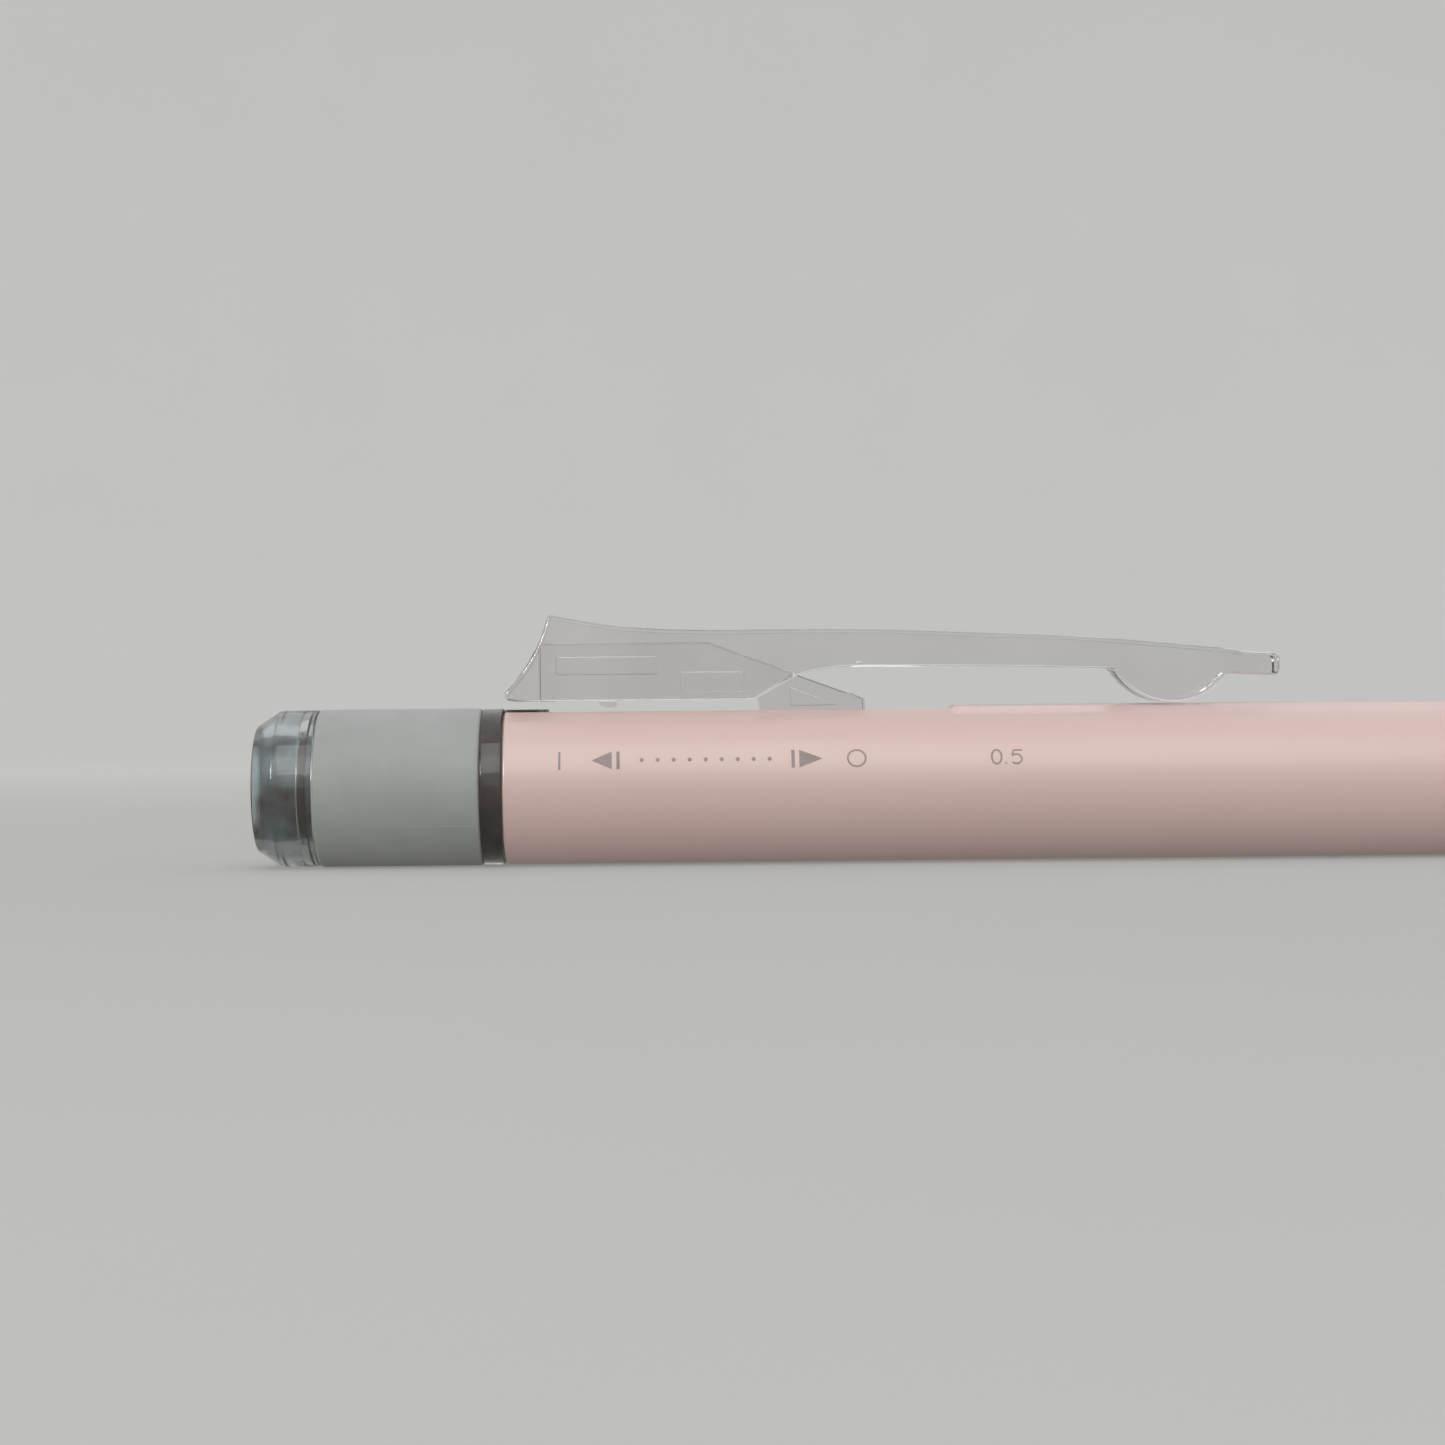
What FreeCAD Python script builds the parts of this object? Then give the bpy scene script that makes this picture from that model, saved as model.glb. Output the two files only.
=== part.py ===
"""A shaker mechanical pencil, 148 mm long, with a sliding pocket clip and a twist-out eraser.

Each function makes one piece. Pieces are drawn about the pencil's own axis: a station is a distance in
millimetres from the tail face towards the lead's point, along +X, and a radius or height is measured from
that axis, with the clip on the +Z side. write_parts() then moves everything into the part's frame, where the
origin lies under the middle of the pencil, on the surface that it lies on.

Tail unit:   the knob, its grey sleeve and a clear ring turn together on a dark guide tube. Two pegs on the
             eraser's holder pass through the guide tube's straight slots into a helical groove in the spiral
             tube, which is keyed into the barrel's slot, so turning the knob drives the eraser out.
Feed unit:   chuck, connector, lead tank and funnel. A steel weight slides on the tank and drives it forward
             when the pencil is shaken; the clip drives it through the knock sleeve when it is pushed.
Lead lock:   drawn towards the tail, the clip takes the lock collar along, and the collar's fingers are
             closed on the tank by the cam bush.
"""

import FreeCAD, Part
import math
import os

from FreeCAD import Vector

# ---------------------------------------------------------------- driving dimensions, in millimetres
# The radial stack of the tail, from the eraser outwards. It sets the barrel's radius.
eraser_radius = 2.95
eraser_slip = 0.13
guide_tube_wall = 0.40
turning_clearance = 0.07
spiral_tube_wall = 0.70
plug_clearance = 0.05
barrel_wall = 1.05

# The tail unit, from the tail face forward
flange_length = 4.15  # the clear end that shows behind the sleeve
sleeve_length = 11.10
ring_length = 1.50
seam = 0.04  # the gap between neighbours that butt together
end_recess = 0.70  # eraser's face below the tail face
tube_recess = 1.00  # guide tube's edge below the tail face
tail_chamfer_length = 1.50
tail_chamfer_depth = 0.95
sleeve_proud = 0.05
sleeve_wall = 0.75
hub_clearance = 0.05

# The eraser's drive
eraser_neck_length = 3.0
eraser_neck_step = 0.35
holder_cup_wall = 0.30
holder_floor = 2.4
eraser_travel = 10.0
spiral_pitch = 5.0
peg_radius = 0.60
peg_clearance = 0.08
groove_depth = 0.42
groove_overrun = 0.05  # of a turn, past the peg's place at each end
groove_setback = 0.70  # groove's near end from the barrel's rear edge
spiral_tube_end = 1.60  # plain tube in front of the groove
retainer_length = 0.7
retainer_height = 0.42

# The barrel
barrel_edge = 0.15
nose_length = 12.0  # the stretch that curves in to the cone
nose_inset = 0.62
socket_wall = 0.78
web_radius = 3.05
web_length = 2.0
groove_count = 12
groove_pitch = 1.8
groove_radius = 0.42
ring_groove_depth = 0.22
plain_band = 14.3  # from the single rear groove to the first of the grip's
key_length = 2.9
key_clearance = 0.10
key_drop = 0.08  # key's top below the barrel's surface

# The cone, the lead pipe and the lead
cone_length = 12.0
cone_lip = 0.6
cone_tip_length = 2.1
cone_waist_radius = 1.95
cone_tip_radius = 1.60
cone_end_radius = 1.05
spigot_length = 9.3
socket_clearance = 0.05
pipe_out = 4.0
pipe_seat = 2.0
pipe_wall = 0.19
lead_radius = 0.25
lead_out = 1.0
lead_length = 44.0
pipe_slip = 0.04
bush_slip = 0.02
bush_radius = 1.00
bush_length = 2.3

# The chuck
knock_travel = 3.6
ring_travel = 1.0
chuck_shank_radius = 1.05
chuck_head_radius = 1.50
chuck_cone_length = 2.2
chuck_face_length = 0.9
chuck_nose_length = 0.6
chuck_nose_inset = 0.35
chuck_seat = 1.4  # how far the shank goes into the connector
chuck_slit = 0.22
chuck_slit_length = 11.0
chuck_bore_slip = 0.03
chuck_rear_bore = 0.42
chuck_ring_wall = 0.70
chuck_ring_length = 2.2
running_clearance = 0.06
guide_flange_length = 1.2
guide_wall = 1.30

# The feed unit
tank_bore = 1.65
tank_wall = 0.45
connector_wall = 0.70
connector_floor = 2.6
connector_cup = 4.4
spring_length = 10.5
spring_wire = 0.16
spring_gap = 0.40
return_spring_turns = 9
buffer_spring_turns = 5
buffer_spring_length = 3.6
spare_lead_count = 3
spare_lead_ring = 0.80
spare_lead_overhang = 3.9  # spare leads stick out of the tank's mouth
funnel_flange_length = 1.5
funnel_neck_length = 2.4
funnel_neck_wall = 0.5

# The shaker weight
weight_length = 16.0
weight_travel = 8.9
weight_clearance = 0.28
weight_bore_clearance = 0.10
stop_length = 3.0

# The lead lock
lock_travel = 3.2
collar_wall = 0.32
collar_floor = 1.0
finger_length = 7.5
finger_wall = 0.55
finger_bulge = 0.40
finger_bulge_length = 2.5
finger_slit = 0.7
grip_clearance = 0.06
cam_length = 4.5
cam_clearance = 0.04
sliding_clearance = 0.10

# The knock sleeve
sleeve_rear_play = 0.3
knock_sleeve_guide = 5.4
knock_sleeve_nose_length = 9.3
knock_sleeve_wall = 0.58
lug_length = 2.0
lug_width = 1.6
lug_setback = 2.0
play = 0.10  # end play between parts that push on each other

# The clip. Its stations count from the barrel's rear edge and its heights from the barrel's surface.
clip_length = 53.1
clip_width = 4.6
clip_tip_width = 3.8
clip_corner = 0.30
clip_base_gap = 0.45
clip_base_length = 17.0
clip_hump_gap = 0.06
channel_clearance = 0.07
slider_width = 2.96
slider_rear = 2.4
slider_height = 4.36
slot_clearance = 0.12
slot_front_gap = 2.4
slot_corner = 0.5
foot_behind_leg = 2.2
foot_before_leg = 1.7
foot_clearance = 0.20
leg_play = 0.06
leg_length = 3.5
leg_width = 2.5
leg_reach = 0.9  # how far the leg reaches in past the barrel's bore
pip_station = 7.1
pip_height = 0.60
pip_radius = 0.69

# ---------------------------------------------------------------- worked out from them
guide_tube_bore = eraser_radius + eraser_slip
guide_tube_radius = guide_tube_bore + guide_tube_wall
spiral_bore = guide_tube_radius + turning_clearance
spiral_radius = spiral_bore + spiral_tube_wall
barrel_bore = spiral_radius + plug_clearance
barrel_radius = barrel_bore + barrel_wall

sleeve_start = flange_length + seam
sleeve_end = sleeve_start + sleeve_length
ring_start = sleeve_end + seam
ring_end = ring_start + ring_length
barrel_start = ring_end + seam
sleeve_radius = barrel_radius + sleeve_proud
hub_radius = sleeve_radius - sleeve_wall - 0.02

# At rest the pegs stand at the far end of their groove, and after the full travel at its near end.
peg_room = peg_radius + peg_clearance
groove_near = barrel_start + groove_setback
peg_station = groove_near + groove_overrun * spiral_pitch + peg_room + eraser_travel
spiral_end = peg_station + groove_overrun * spiral_pitch + peg_room + spiral_tube_end
eraser_end = peg_station - holder_floor / 2
retainer_start = spiral_end + turning_clearance
guide_tube_end = retainer_start + retainer_length + 0.4

knock_sleeve_start = guide_tube_end + lock_travel + sleeve_rear_play
knock_shoulder = knock_sleeve_start + knock_sleeve_guide
knock_sleeve_end = knock_shoulder + knock_sleeve_nose_length
collar_tube_bore = barrel_bore - sliding_clearance - collar_wall
knock_sleeve_nose = collar_tube_bore - sliding_clearance
knock_sleeve_bore = knock_sleeve_nose - knock_sleeve_wall
lug_start = knock_sleeve_end - lug_setback - lug_length

leg_start = knock_sleeve_start + (knock_sleeve_guide - leg_length) / 3
foot_start = leg_start - foot_behind_leg
foot_end = leg_start + leg_length + foot_before_leg
slot_end = foot_end + knock_travel + slot_front_gap
slot_width = slider_width + 2 * slot_clearance

tank_radius = tank_bore + tank_wall
funnel_start = knock_sleeve_end + play
tank_start = funnel_start + funnel_flange_length
funnel_end = tank_start + funnel_neck_length
collar_start = knock_shoulder + knock_travel + 2 * play
collar_shoulder = funnel_end + knock_travel + lock_travel + collar_floor + 5 * play
collar_end = collar_shoulder + finger_length
finger_root = tank_radius + grip_clearance + finger_wall
cam_start = collar_shoulder + 4 * play

stop_start = collar_end + 1.2
weight_start = stop_start + stop_length + play
weight_radius = barrel_bore - weight_clearance
buffer_start = weight_start + weight_length + weight_travel
connector_start = buffer_start + buffer_spring_length
connector_end = connector_start + connector_cup + connector_floor
connector_radius = tank_radius + connector_wall
tank_end = connector_start + connector_cup - play
guide_flange_start = connector_end + spring_length
web_start = guide_flange_start - web_length
spigot_start = guide_flange_start + guide_flange_length

barrel_end = spigot_start + spigot_length
cone_base_radius = barrel_radius - nose_inset
socket_radius = cone_base_radius - socket_wall
spigot_radius = socket_radius - socket_clearance
cone_end = barrel_end + cone_length
pipe_start = cone_end - pipe_seat
pipe_end = cone_end + pipe_out
pipe_bore = lead_radius + pipe_slip
pipe_radius = pipe_bore + pipe_wall
lead_point = pipe_end + lead_out
overall_length = lead_point

bush_start = pipe_start - bush_length
chuck_front = bush_start - knock_travel - 2 * play
chuck_shoulder = chuck_front - chuck_nose_length - chuck_face_length
chuck_cone_start = chuck_shoulder - chuck_cone_length
chuck_rear = connector_end - chuck_seat
chuck_ring_radius = chuck_head_radius + chuck_ring_wall
ring_seat = chuck_cone_start + chuck_ring_length + ring_travel
guide_radius = chuck_shank_radius + running_clearance + guide_wall
guide_end = chuck_cone_start - seam


# ---------------------------------------------------------------- drawing helpers
def turned(*outline):
    """A solid of revolution from a closed outline of (station, radius) points."""
    points = [Vector(station, 0, radius) for station, radius in outline]
    face = Part.Face(Part.makePolygon(points + points[:1]))
    return face.revolve(Vector(0, 0, 0), Vector(1, 0, 0), 360)


def tube(start, end, outer, inner):
    return turned((start, inner), (end, inner), (end, outer), (start, outer))


def rod(start, end, radius):
    return turned((start, 0), (end, 0), (end, radius), (start, radius))


def brick(start, end, width, low, high):
    """A block that is centred on the XZ plane."""
    return Part.makeBox(end - start, width, high - low, Vector(start, -width / 2, low))


def line(a, b):
    return Part.LineSegment(a, b).toShape()


def arc(a, middle, b):
    return Part.Arc(a, middle, b).toShape()


def curve(*points):
    """A smooth curve through the points."""
    spline = Part.BSplineCurve()
    spline.interpolate(list(points))
    return spline.toShape()


def plate(edges, width):
    """Joined edges in the XZ plane, extruded to a width centred on that plane."""
    face = Part.Face(Part.Wire(edges))
    return face.extrude(Vector(0, width, 0)).translated(Vector(0, -width / 2, 0))


def corner_plate(points, width):
    closed = points + points[:1]
    return plate([line(a, b) for a, b in zip(closed, closed[1:])], width)


def radial_cut(start, end, width, reach, angle):
    """A block from the axis outwards, turned about the axis by an angle in degrees, for slits and windows."""
    block = Part.makeBox(end - start, width, reach, Vector(start, -width / 2, 0))
    block.rotate(Vector(0, 0, 0), Vector(1, 0, 0), angle)
    return block


def coil(start, end, radius, turns):
    """A helical spring about the axis that fills the length from start to end."""
    length = end - start - 2 * spring_wire
    path = Part.makeHelix(length / turns, length, radius)
    section = Part.Wire([Part.Circle(Vector(radius, 0, 0), Vector(0, 1, 0), spring_wire).toShape()])
    spring = Part.Wire(path.Edges).makePipeShell([section], True, True)
    spring.rotate(Vector(0, 0, 0), Vector(0, 1, 0), 90)
    return spring.translated(Vector(start + spring_wire, 0, 0))


# ---------------------------------------------------------------- the barrel and what is fixed in it
def barrel():
    """The outer tube. A slot along its top is open at the rear, and a web inside carries the chuck guide."""
    nose_start = barrel_end - nose_length
    nose_middle = Vector(barrel_end - nose_length / 2, 0, barrel_radius - nose_inset * 0.28)
    corners = [
        Vector(barrel_start, 0, barrel_bore),
        Vector(barrel_start, 0, barrel_radius - barrel_edge),
        Vector(barrel_start + barrel_edge, 0, barrel_radius),
        Vector(nose_start, 0, barrel_radius),
        Vector(barrel_end, 0, cone_base_radius),
        Vector(barrel_end, 0, socket_radius),
        Vector(guide_flange_start, 0, socket_radius),
        Vector(guide_flange_start, 0, web_radius),
        Vector(web_start, 0, web_radius),
        Vector(web_start, 0, barrel_bore),
    ]
    edges = [line(a, b) for a, b in zip(corners, corners[1:] + corners[:1])]
    edges[3] = arc(corners[3], nose_middle, corners[4])
    body = Part.Face(Part.Wire(edges)).revolve(Vector(0, 0, 0), Vector(1, 0, 0), 360)
    slot = brick(barrel_start - 1, slot_end, slot_width, 0, barrel_radius + 1)
    front_edges = [edge for edge in slot.Edges if is_upright(edge) and edge.BoundBox.XMin > barrel_start]
    slot = slot.makeFillet(slot_corner, front_edges)
    return body.cut(slot).cut(Part.makeCompound(ring_grooves()))


def is_upright(edge):
    box = edge.BoundBox
    return box.ZLength > box.XLength + box.YLength


def ring_grooves():
    """Round-bottomed rings for the fingers, and a single one behind them that ends the plain band."""
    last = barrel_end - nose_length - groove_pitch / 2
    stations = [last - i * groove_pitch for i in range(groove_count)]
    stations.append(stations[-1] - plain_band)
    middle_radius = barrel_radius - ring_groove_depth + groove_radius
    return [
        Part.makeTorus(middle_radius, groove_radius, Vector(station, 0, 0), Vector(1, 0, 0))
        for station in stations
    ]


def tip_cone():
    """The metal nozzle: a spigot for the barrel's socket, and bores for the guide, ring, bush and pipe."""
    chuck_room = chuck_head_radius + running_clearance
    ring_room = chuck_ring_radius + running_clearance
    guide_room = guide_radius + socket_clearance
    bush_room = bush_radius + socket_clearance
    pipe_room = pipe_radius + 0.01
    tip_start = cone_end - cone_tip_length
    return turned(
        (spigot_start, spigot_radius),
        (barrel_end + seam, spigot_radius),
        (barrel_end + seam, cone_base_radius - 0.05),
        (barrel_end + seam + cone_lip, cone_base_radius),
        (tip_start, cone_waist_radius),
        (tip_start + 0.2, cone_tip_radius),
        (cone_end - 0.15, cone_end_radius + 0.1),
        (cone_end, cone_end_radius - 0.05),
        (cone_end, pipe_room),
        (pipe_start, pipe_room),
        (pipe_start, bush_room),
        (bush_start, bush_room),
        (bush_start, chuck_room),
        (ring_seat, chuck_room),
        (ring_seat, ring_room),
        (guide_end + seam, ring_room),
        (guide_end + seam, guide_room),
        (spigot_start, guide_room),
    )


def lead_pipe():
    """The fine steel pipe that the lead comes out of."""
    return turned(
        (pipe_start, pipe_bore),
        (pipe_end, pipe_bore),
        (pipe_end, pipe_radius - 0.06),
        (pipe_end - 0.12, pipe_radius),
        (pipe_start, pipe_radius),
    )


def lead_retainer():
    """The rubber bush that keeps the lead from falling back while the chuck is open."""
    return tube(bush_start + 0.02, pipe_start - 0.02, bush_radius, lead_radius + bush_slip)


def chuck_guide():
    """A flanged bush, clamped between the barrel's web and the spigot. The spring stands on its rear face."""
    bore = chuck_shank_radius + running_clearance
    flange_radius = spigot_radius - 0.2
    return turned(
        (guide_flange_start, bore),
        (guide_end, bore),
        (guide_end, guide_radius),
        (spigot_start - 0.02, guide_radius),
        (spigot_start - 0.02, flange_radius),
        (guide_flange_start, flange_radius),
    )


def weight_stop():
    """A bush pressed into the barrel that the weight strikes when it slides back."""
    outer = barrel_bore - plug_clearance
    bore = tank_radius + sliding_clearance
    edge = 0.4
    return turned(
        (stop_start, bore),
        (stop_start + stop_length, bore),
        (stop_start + stop_length, outer - edge),
        (stop_start + stop_length - edge, outer),
        (stop_start, outer),
    )


def lock_cam():
    """A bush fixed in the barrel. Its bore narrows towards the tail, where it closes the collar's fingers."""
    narrow = finger_root + finger_bulge + cam_clearance
    wide = narrow + 0.31
    outer = barrel_bore - plug_clearance
    return turned(
        (cam_start, narrow),
        (cam_start + cam_length / 2, narrow),
        (cam_start + cam_length, wide),
        (cam_start + cam_length, outer),
        (cam_start, outer),
    )


def return_spring():
    """The spring that draws the feed unit back after each knock."""
    radius = chuck_shank_radius + spring_gap + spring_wire
    return coil(connector_end, guide_flange_start, radius, return_spring_turns)


# ---------------------------------------------------------------- the feed unit
def chuck():
    """The brass collet: three jaws in one piece, with a conical head that the chuck ring closes."""
    bore = lead_radius + chuck_bore_slip
    jaw_start = chuck_cone_start - 1.0
    body = turned(
        (chuck_rear, chuck_rear_bore),
        (jaw_start - 0.4, chuck_rear_bore),
        (jaw_start, bore),
        (chuck_front, bore),
        (chuck_front, chuck_head_radius - chuck_nose_inset),
        (chuck_front - chuck_nose_length, chuck_head_radius),
        (chuck_shoulder, chuck_head_radius),
        (chuck_cone_start, chuck_shank_radius),
        (chuck_rear, chuck_shank_radius),
    )
    slit_start = chuck_front - chuck_slit_length
    slits = [radial_cut(slit_start, chuck_front + 1, chuck_slit, 3, angle) for angle in (0, 120, 240)]
    return body.cut(Part.makeCompound(slits))


def chuck_ring():
    """The loose ring that holds the jaws shut until it meets the cone's shoulder."""
    end = chuck_cone_start + chuck_ring_length
    edge = 0.15
    return turned(
        (chuck_cone_start, chuck_shank_radius + running_clearance),
        (end, chuck_head_radius + running_clearance),
        (end, chuck_ring_radius - edge),
        (end - edge, chuck_ring_radius),
        (chuck_cone_start, chuck_ring_radius),
    )


def tank_connector():
    """Joins the tank to the chuck. Its floor is a funnel that lets one lead at a time through."""
    floor = connector_start + connector_cup
    tank_room = tank_radius + 0.01
    shank_room = chuck_shank_radius + 0.01
    edge = 0.3
    return turned(
        (connector_start, tank_room),
        (floor, tank_room),
        (floor, tank_bore - 0.1),
        (chuck_rear - 0.2, chuck_rear_bore),
        (chuck_rear, chuck_rear_bore),
        (chuck_rear, shank_room),
        (connector_end, shank_room),
        (connector_end, connector_radius),
        (connector_start + edge, connector_radius),
        (connector_start, connector_radius - edge),
    )


def lead_tank():
    return tube(tank_start, tank_end, tank_radius, tank_bore)


def tank_funnel():
    """The flanged mouth of the tank. The knock sleeve pushes on its flange."""
    tank_room = tank_radius + 0.01
    neck = tank_room + funnel_neck_wall
    return turned(
        (funnel_start, tank_radius + 0.9),
        (tank_start, tank_bore),
        (tank_start, tank_room),
        (funnel_end, tank_room),
        (funnel_end, neck),
        (tank_start, neck),
        (tank_start, knock_sleeve_nose),
        (funnel_start, knock_sleeve_nose),
    )


def spare_leads():
    """Spare leads that stand loose in the tank, spaced round the lead in use."""
    stick = rod(tank_start - spare_lead_overhang, tank_end, lead_radius)
    leads = []
    for i in range(spare_lead_count):
        angle = 2 * math.pi * i / spare_lead_count - math.pi / 2
        across = Vector(0, spare_lead_ring * math.cos(angle), spare_lead_ring * math.sin(angle))
        leads.append(stick.translated(across))
    return Part.makeCompound(leads)


def buffer_spring():
    """A short spring round the tank that softens the weight's blow on the connector."""
    return coil(buffer_start, connector_start, tank_radius + 2 * spring_wire, buffer_spring_turns)


def lead():
    """The lead in use. It runs from its point back through the pipe, bush and chuck into the tank."""
    return turned(
        (lead_point - lead_length, 0),
        (lead_point, 0),
        (lead_point, lead_radius * 0.45),
        (lead_point - lead_radius, lead_radius),
        (lead_point - lead_length, lead_radius),
    )


def shaker_weight():
    """The steel weight that slides on the tank."""
    bore = tank_radius + weight_bore_clearance
    end = weight_start + weight_length
    edge = 0.3
    return turned(
        (weight_start, bore),
        (end, bore),
        (end, weight_radius - edge),
        (end - edge, weight_radius),
        (weight_start + edge, weight_radius),
        (weight_start, weight_radius - edge),
    )


# ---------------------------------------------------------------- the lead lock and the knock sleeve
def lock_collar():
    """A tube that the knock sleeve's lugs draw towards the tail, with slit fingers round the tank."""
    outer = barrel_bore - sliding_clearance
    grip = tank_radius + grip_clearance
    bulge = finger_root + finger_bulge
    bulge_start = collar_end - finger_bulge_length
    floor = collar_shoulder - collar_floor
    body = turned(
        (collar_start, collar_tube_bore),
        (floor, collar_tube_bore),
        (floor, grip),
        (collar_end, grip),
        (collar_end, bulge - 0.2),
        (collar_end - 0.3, bulge),
        (bulge_start + 0.4, bulge),
        (bulge_start, finger_root),
        (collar_shoulder, finger_root),
        (collar_shoulder, outer),
        (collar_start, outer),
    )
    slit_start = collar_shoulder + 0.8
    slits = [
        radial_cut(slit_start, collar_end + 1, finger_slit, barrel_bore, angle)
        for angle in (45, 135, 225, 315)
    ]
    window_start = lug_start - play
    window_end = lug_start + lug_length + knock_travel + 2 * play
    windows = [
        radial_cut(window_start, window_end, lug_width + 2 * play, barrel_bore, angle)
        for angle in (90, 270)
    ]
    return body.cut(Part.makeCompound(slits + windows))


def knock_sleeve():
    """The sleeve that the clip's leg hooks into. It pushes the funnel forward and pulls the collar back."""
    outer = barrel_bore - sliding_clearance
    body = turned(
        (knock_sleeve_start, knock_sleeve_bore),
        (knock_sleeve_end, knock_sleeve_bore),
        (knock_sleeve_end, knock_sleeve_nose),
        (knock_shoulder, knock_sleeve_nose),
        (knock_shoulder, outer),
        (knock_sleeve_start, outer),
    )
    lug_ring = tube(lug_start, lug_start + lug_length, outer, knock_sleeve_nose - 0.1)
    lug_band = brick(lug_start, lug_start + lug_length, 3 * barrel_radius, -lug_width / 2, lug_width / 2)
    body = body.fuse(lug_ring.common(lug_band)).removeSplitter()
    pocket_start = leg_start - leg_play
    pocket_end = leg_start + leg_length + leg_play
    return body.cut(brick(pocket_start, pocket_end, leg_width + 2 * leg_play, 0, barrel_radius))


# ---------------------------------------------------------------- the clip
def clip_point(station, height):
    """A point of the clip's side view: station from the barrel's rear edge, height above its surface."""
    return Vector(barrel_start + station, 0, barrel_radius + height)


def tip_point(back, height):
    """A point counted back from the clip's front end."""
    return clip_point(clip_length - back, height)


def arm_point(share, height):
    """A point along the arm's back, at a share of the way from the thumb piece to the tab."""
    return clip_point(13.6 + share * (clip_length - 16.5), height)


def clip_outline():
    """The clip's side view: thumb face, falling back, tab, the bump that grips cloth, and the arched root."""
    heel = clip_point(0, clip_base_gap)
    crest = clip_point(3.0, 6.27)
    step = tip_point(2.92, 3.61)
    tab = [
        step, tip_point(2.76, 3.47), tip_point(0.2, 3.34), tip_point(0, 3.1),
        tip_point(0, 1.95), tip_point(0.4, 1.82), tip_point(3.75, 1.98),
    ]
    bump_front = tab[-1]
    bump_rear = tip_point(11.3, 2.39)
    arch_top = clip_point(24.9, 2.71)
    root_foot = clip_point(clip_base_length, clip_base_gap)
    edges = [
        arc(heel, clip_point(1.73, 3.2), crest),
        curve(
            crest, clip_point(5.5, 5.87), clip_point(8.5, 5.45), clip_point(13.6, 5.21),
            arm_point(0.27, 5.22), arm_point(0.5, 4.93), arm_point(0.73, 4.51), step,
        ),
    ]
    edges += [line(a, b) for a, b in zip(tab, tab[1:])]
    edges += [
        arc(bump_front, tip_point(7.5, clip_hump_gap), bump_rear),
        curve(bump_rear, (bump_rear + arch_top) / 2 + Vector(0, 0, 0.05), arch_top),
        curve(
            arch_top, clip_point(23.1, 2.66), clip_point(21.6, 2.48),
            clip_point(20.2, 2.16), clip_point(18.5, 1.42), root_foot,
        ),
        line(root_foot, heel),
    ]
    return edges


def slider_side(grow=0.0):
    """The slider's side view above the barrel, as points; grow widens it to make the clip's channel."""
    low = clip_base_gap + 0.03
    front = foot_end - barrel_start
    return [
        clip_point(slider_rear - grow, low - grow),
        clip_point(slider_rear - grow, slider_height + grow),
        clip_point(13.9 + grow / 2, slider_height + grow),
        clip_point(front - 0.1 + grow, clip_base_gap + grow),
        clip_point(front - 0.1 + grow, low - grow),
    ]


def clip():
    """The moulded clip: a plate on edge that narrows to its tip, with a channel underneath for the slider."""
    body = plate(clip_outline(), clip_width)
    taper_start = 18.0
    plan = [
        clip_point(-1, 0) + Vector(0, -clip_width / 2, 0),
        clip_point(taper_start, 0) + Vector(0, -clip_width / 2, 0),
        clip_point(clip_length + 1, 0) + Vector(0, -clip_tip_width / 2, 0),
        clip_point(clip_length + 1, 0) + Vector(0, clip_tip_width / 2, 0),
        clip_point(taper_start, 0) + Vector(0, clip_width / 2, 0),
        clip_point(-1, 0) + Vector(0, clip_width / 2, 0),
    ]
    body = body.common(Part.Face(Part.makePolygon(plan + plan[:1])).extrude(Vector(0, 0, 3 * barrel_radius)))
    corners = (clip_point(0, clip_base_gap), clip_point(3.0, 6.27))
    sharp = [edge for edge in body.Edges if lies_across(edge, corners)]
    body = body.makeFillet(clip_corner, sharp)
    width = slider_width + 2 * channel_clearance
    channel = corner_plate(slider_side(channel_clearance), width)
    groove = corner_plate(
        [clip_point(20.0, 0.8), clip_point(21.6, 3.3), tip_point(16.7, 2.75), tip_point(15.7, 0.8)],
        width - 0.9,
    )
    return body.cut(channel).cut(groove)


def lies_across(edge, places):
    """Whether an edge is straight across the clip at one of the places."""
    box = edge.BoundBox
    middle = edge.CenterOfMass
    near = any(math.hypot(middle.x - place.x, middle.z - place.z) < 0.01 for place in places)
    return near and box.YLength > 1


def clip_slider():
    """The block in the clip's channel. Its foot runs in the barrel's slot; its leg hooks the knock sleeve."""
    block = corner_plate(slider_side(), slider_width)
    foot_depth = barrel_wall - foot_clearance
    foot = corner_plate(
        [
            Vector(foot_start, 0, barrel_radius + clip_base_gap + 0.4),
            Vector(foot_end - 1.0, 0, barrel_radius + clip_base_gap + 0.4),
            Vector(foot_end - 0.1, 0, barrel_radius + clip_base_gap),
            Vector(foot_end, 0, barrel_radius - foot_depth),
            Vector(foot_start + 0.2, 0, barrel_radius - foot_depth),
        ],
        slider_width,
    )
    leg = brick(leg_start, leg_start + leg_length, leg_width, barrel_bore - leg_reach, barrel_radius)
    pip_side = clip_point(pip_station, pip_height) - Vector(0, slider_width / 2, 0)
    pip = Part.makeCylinder(pip_radius, slider_width, pip_side, Vector(0, 1, 0))
    body = block.fuse([foot, leg, pip]).removeSplitter()
    return body.cut(Part.makeCompound(slider_recesses()))


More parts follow.
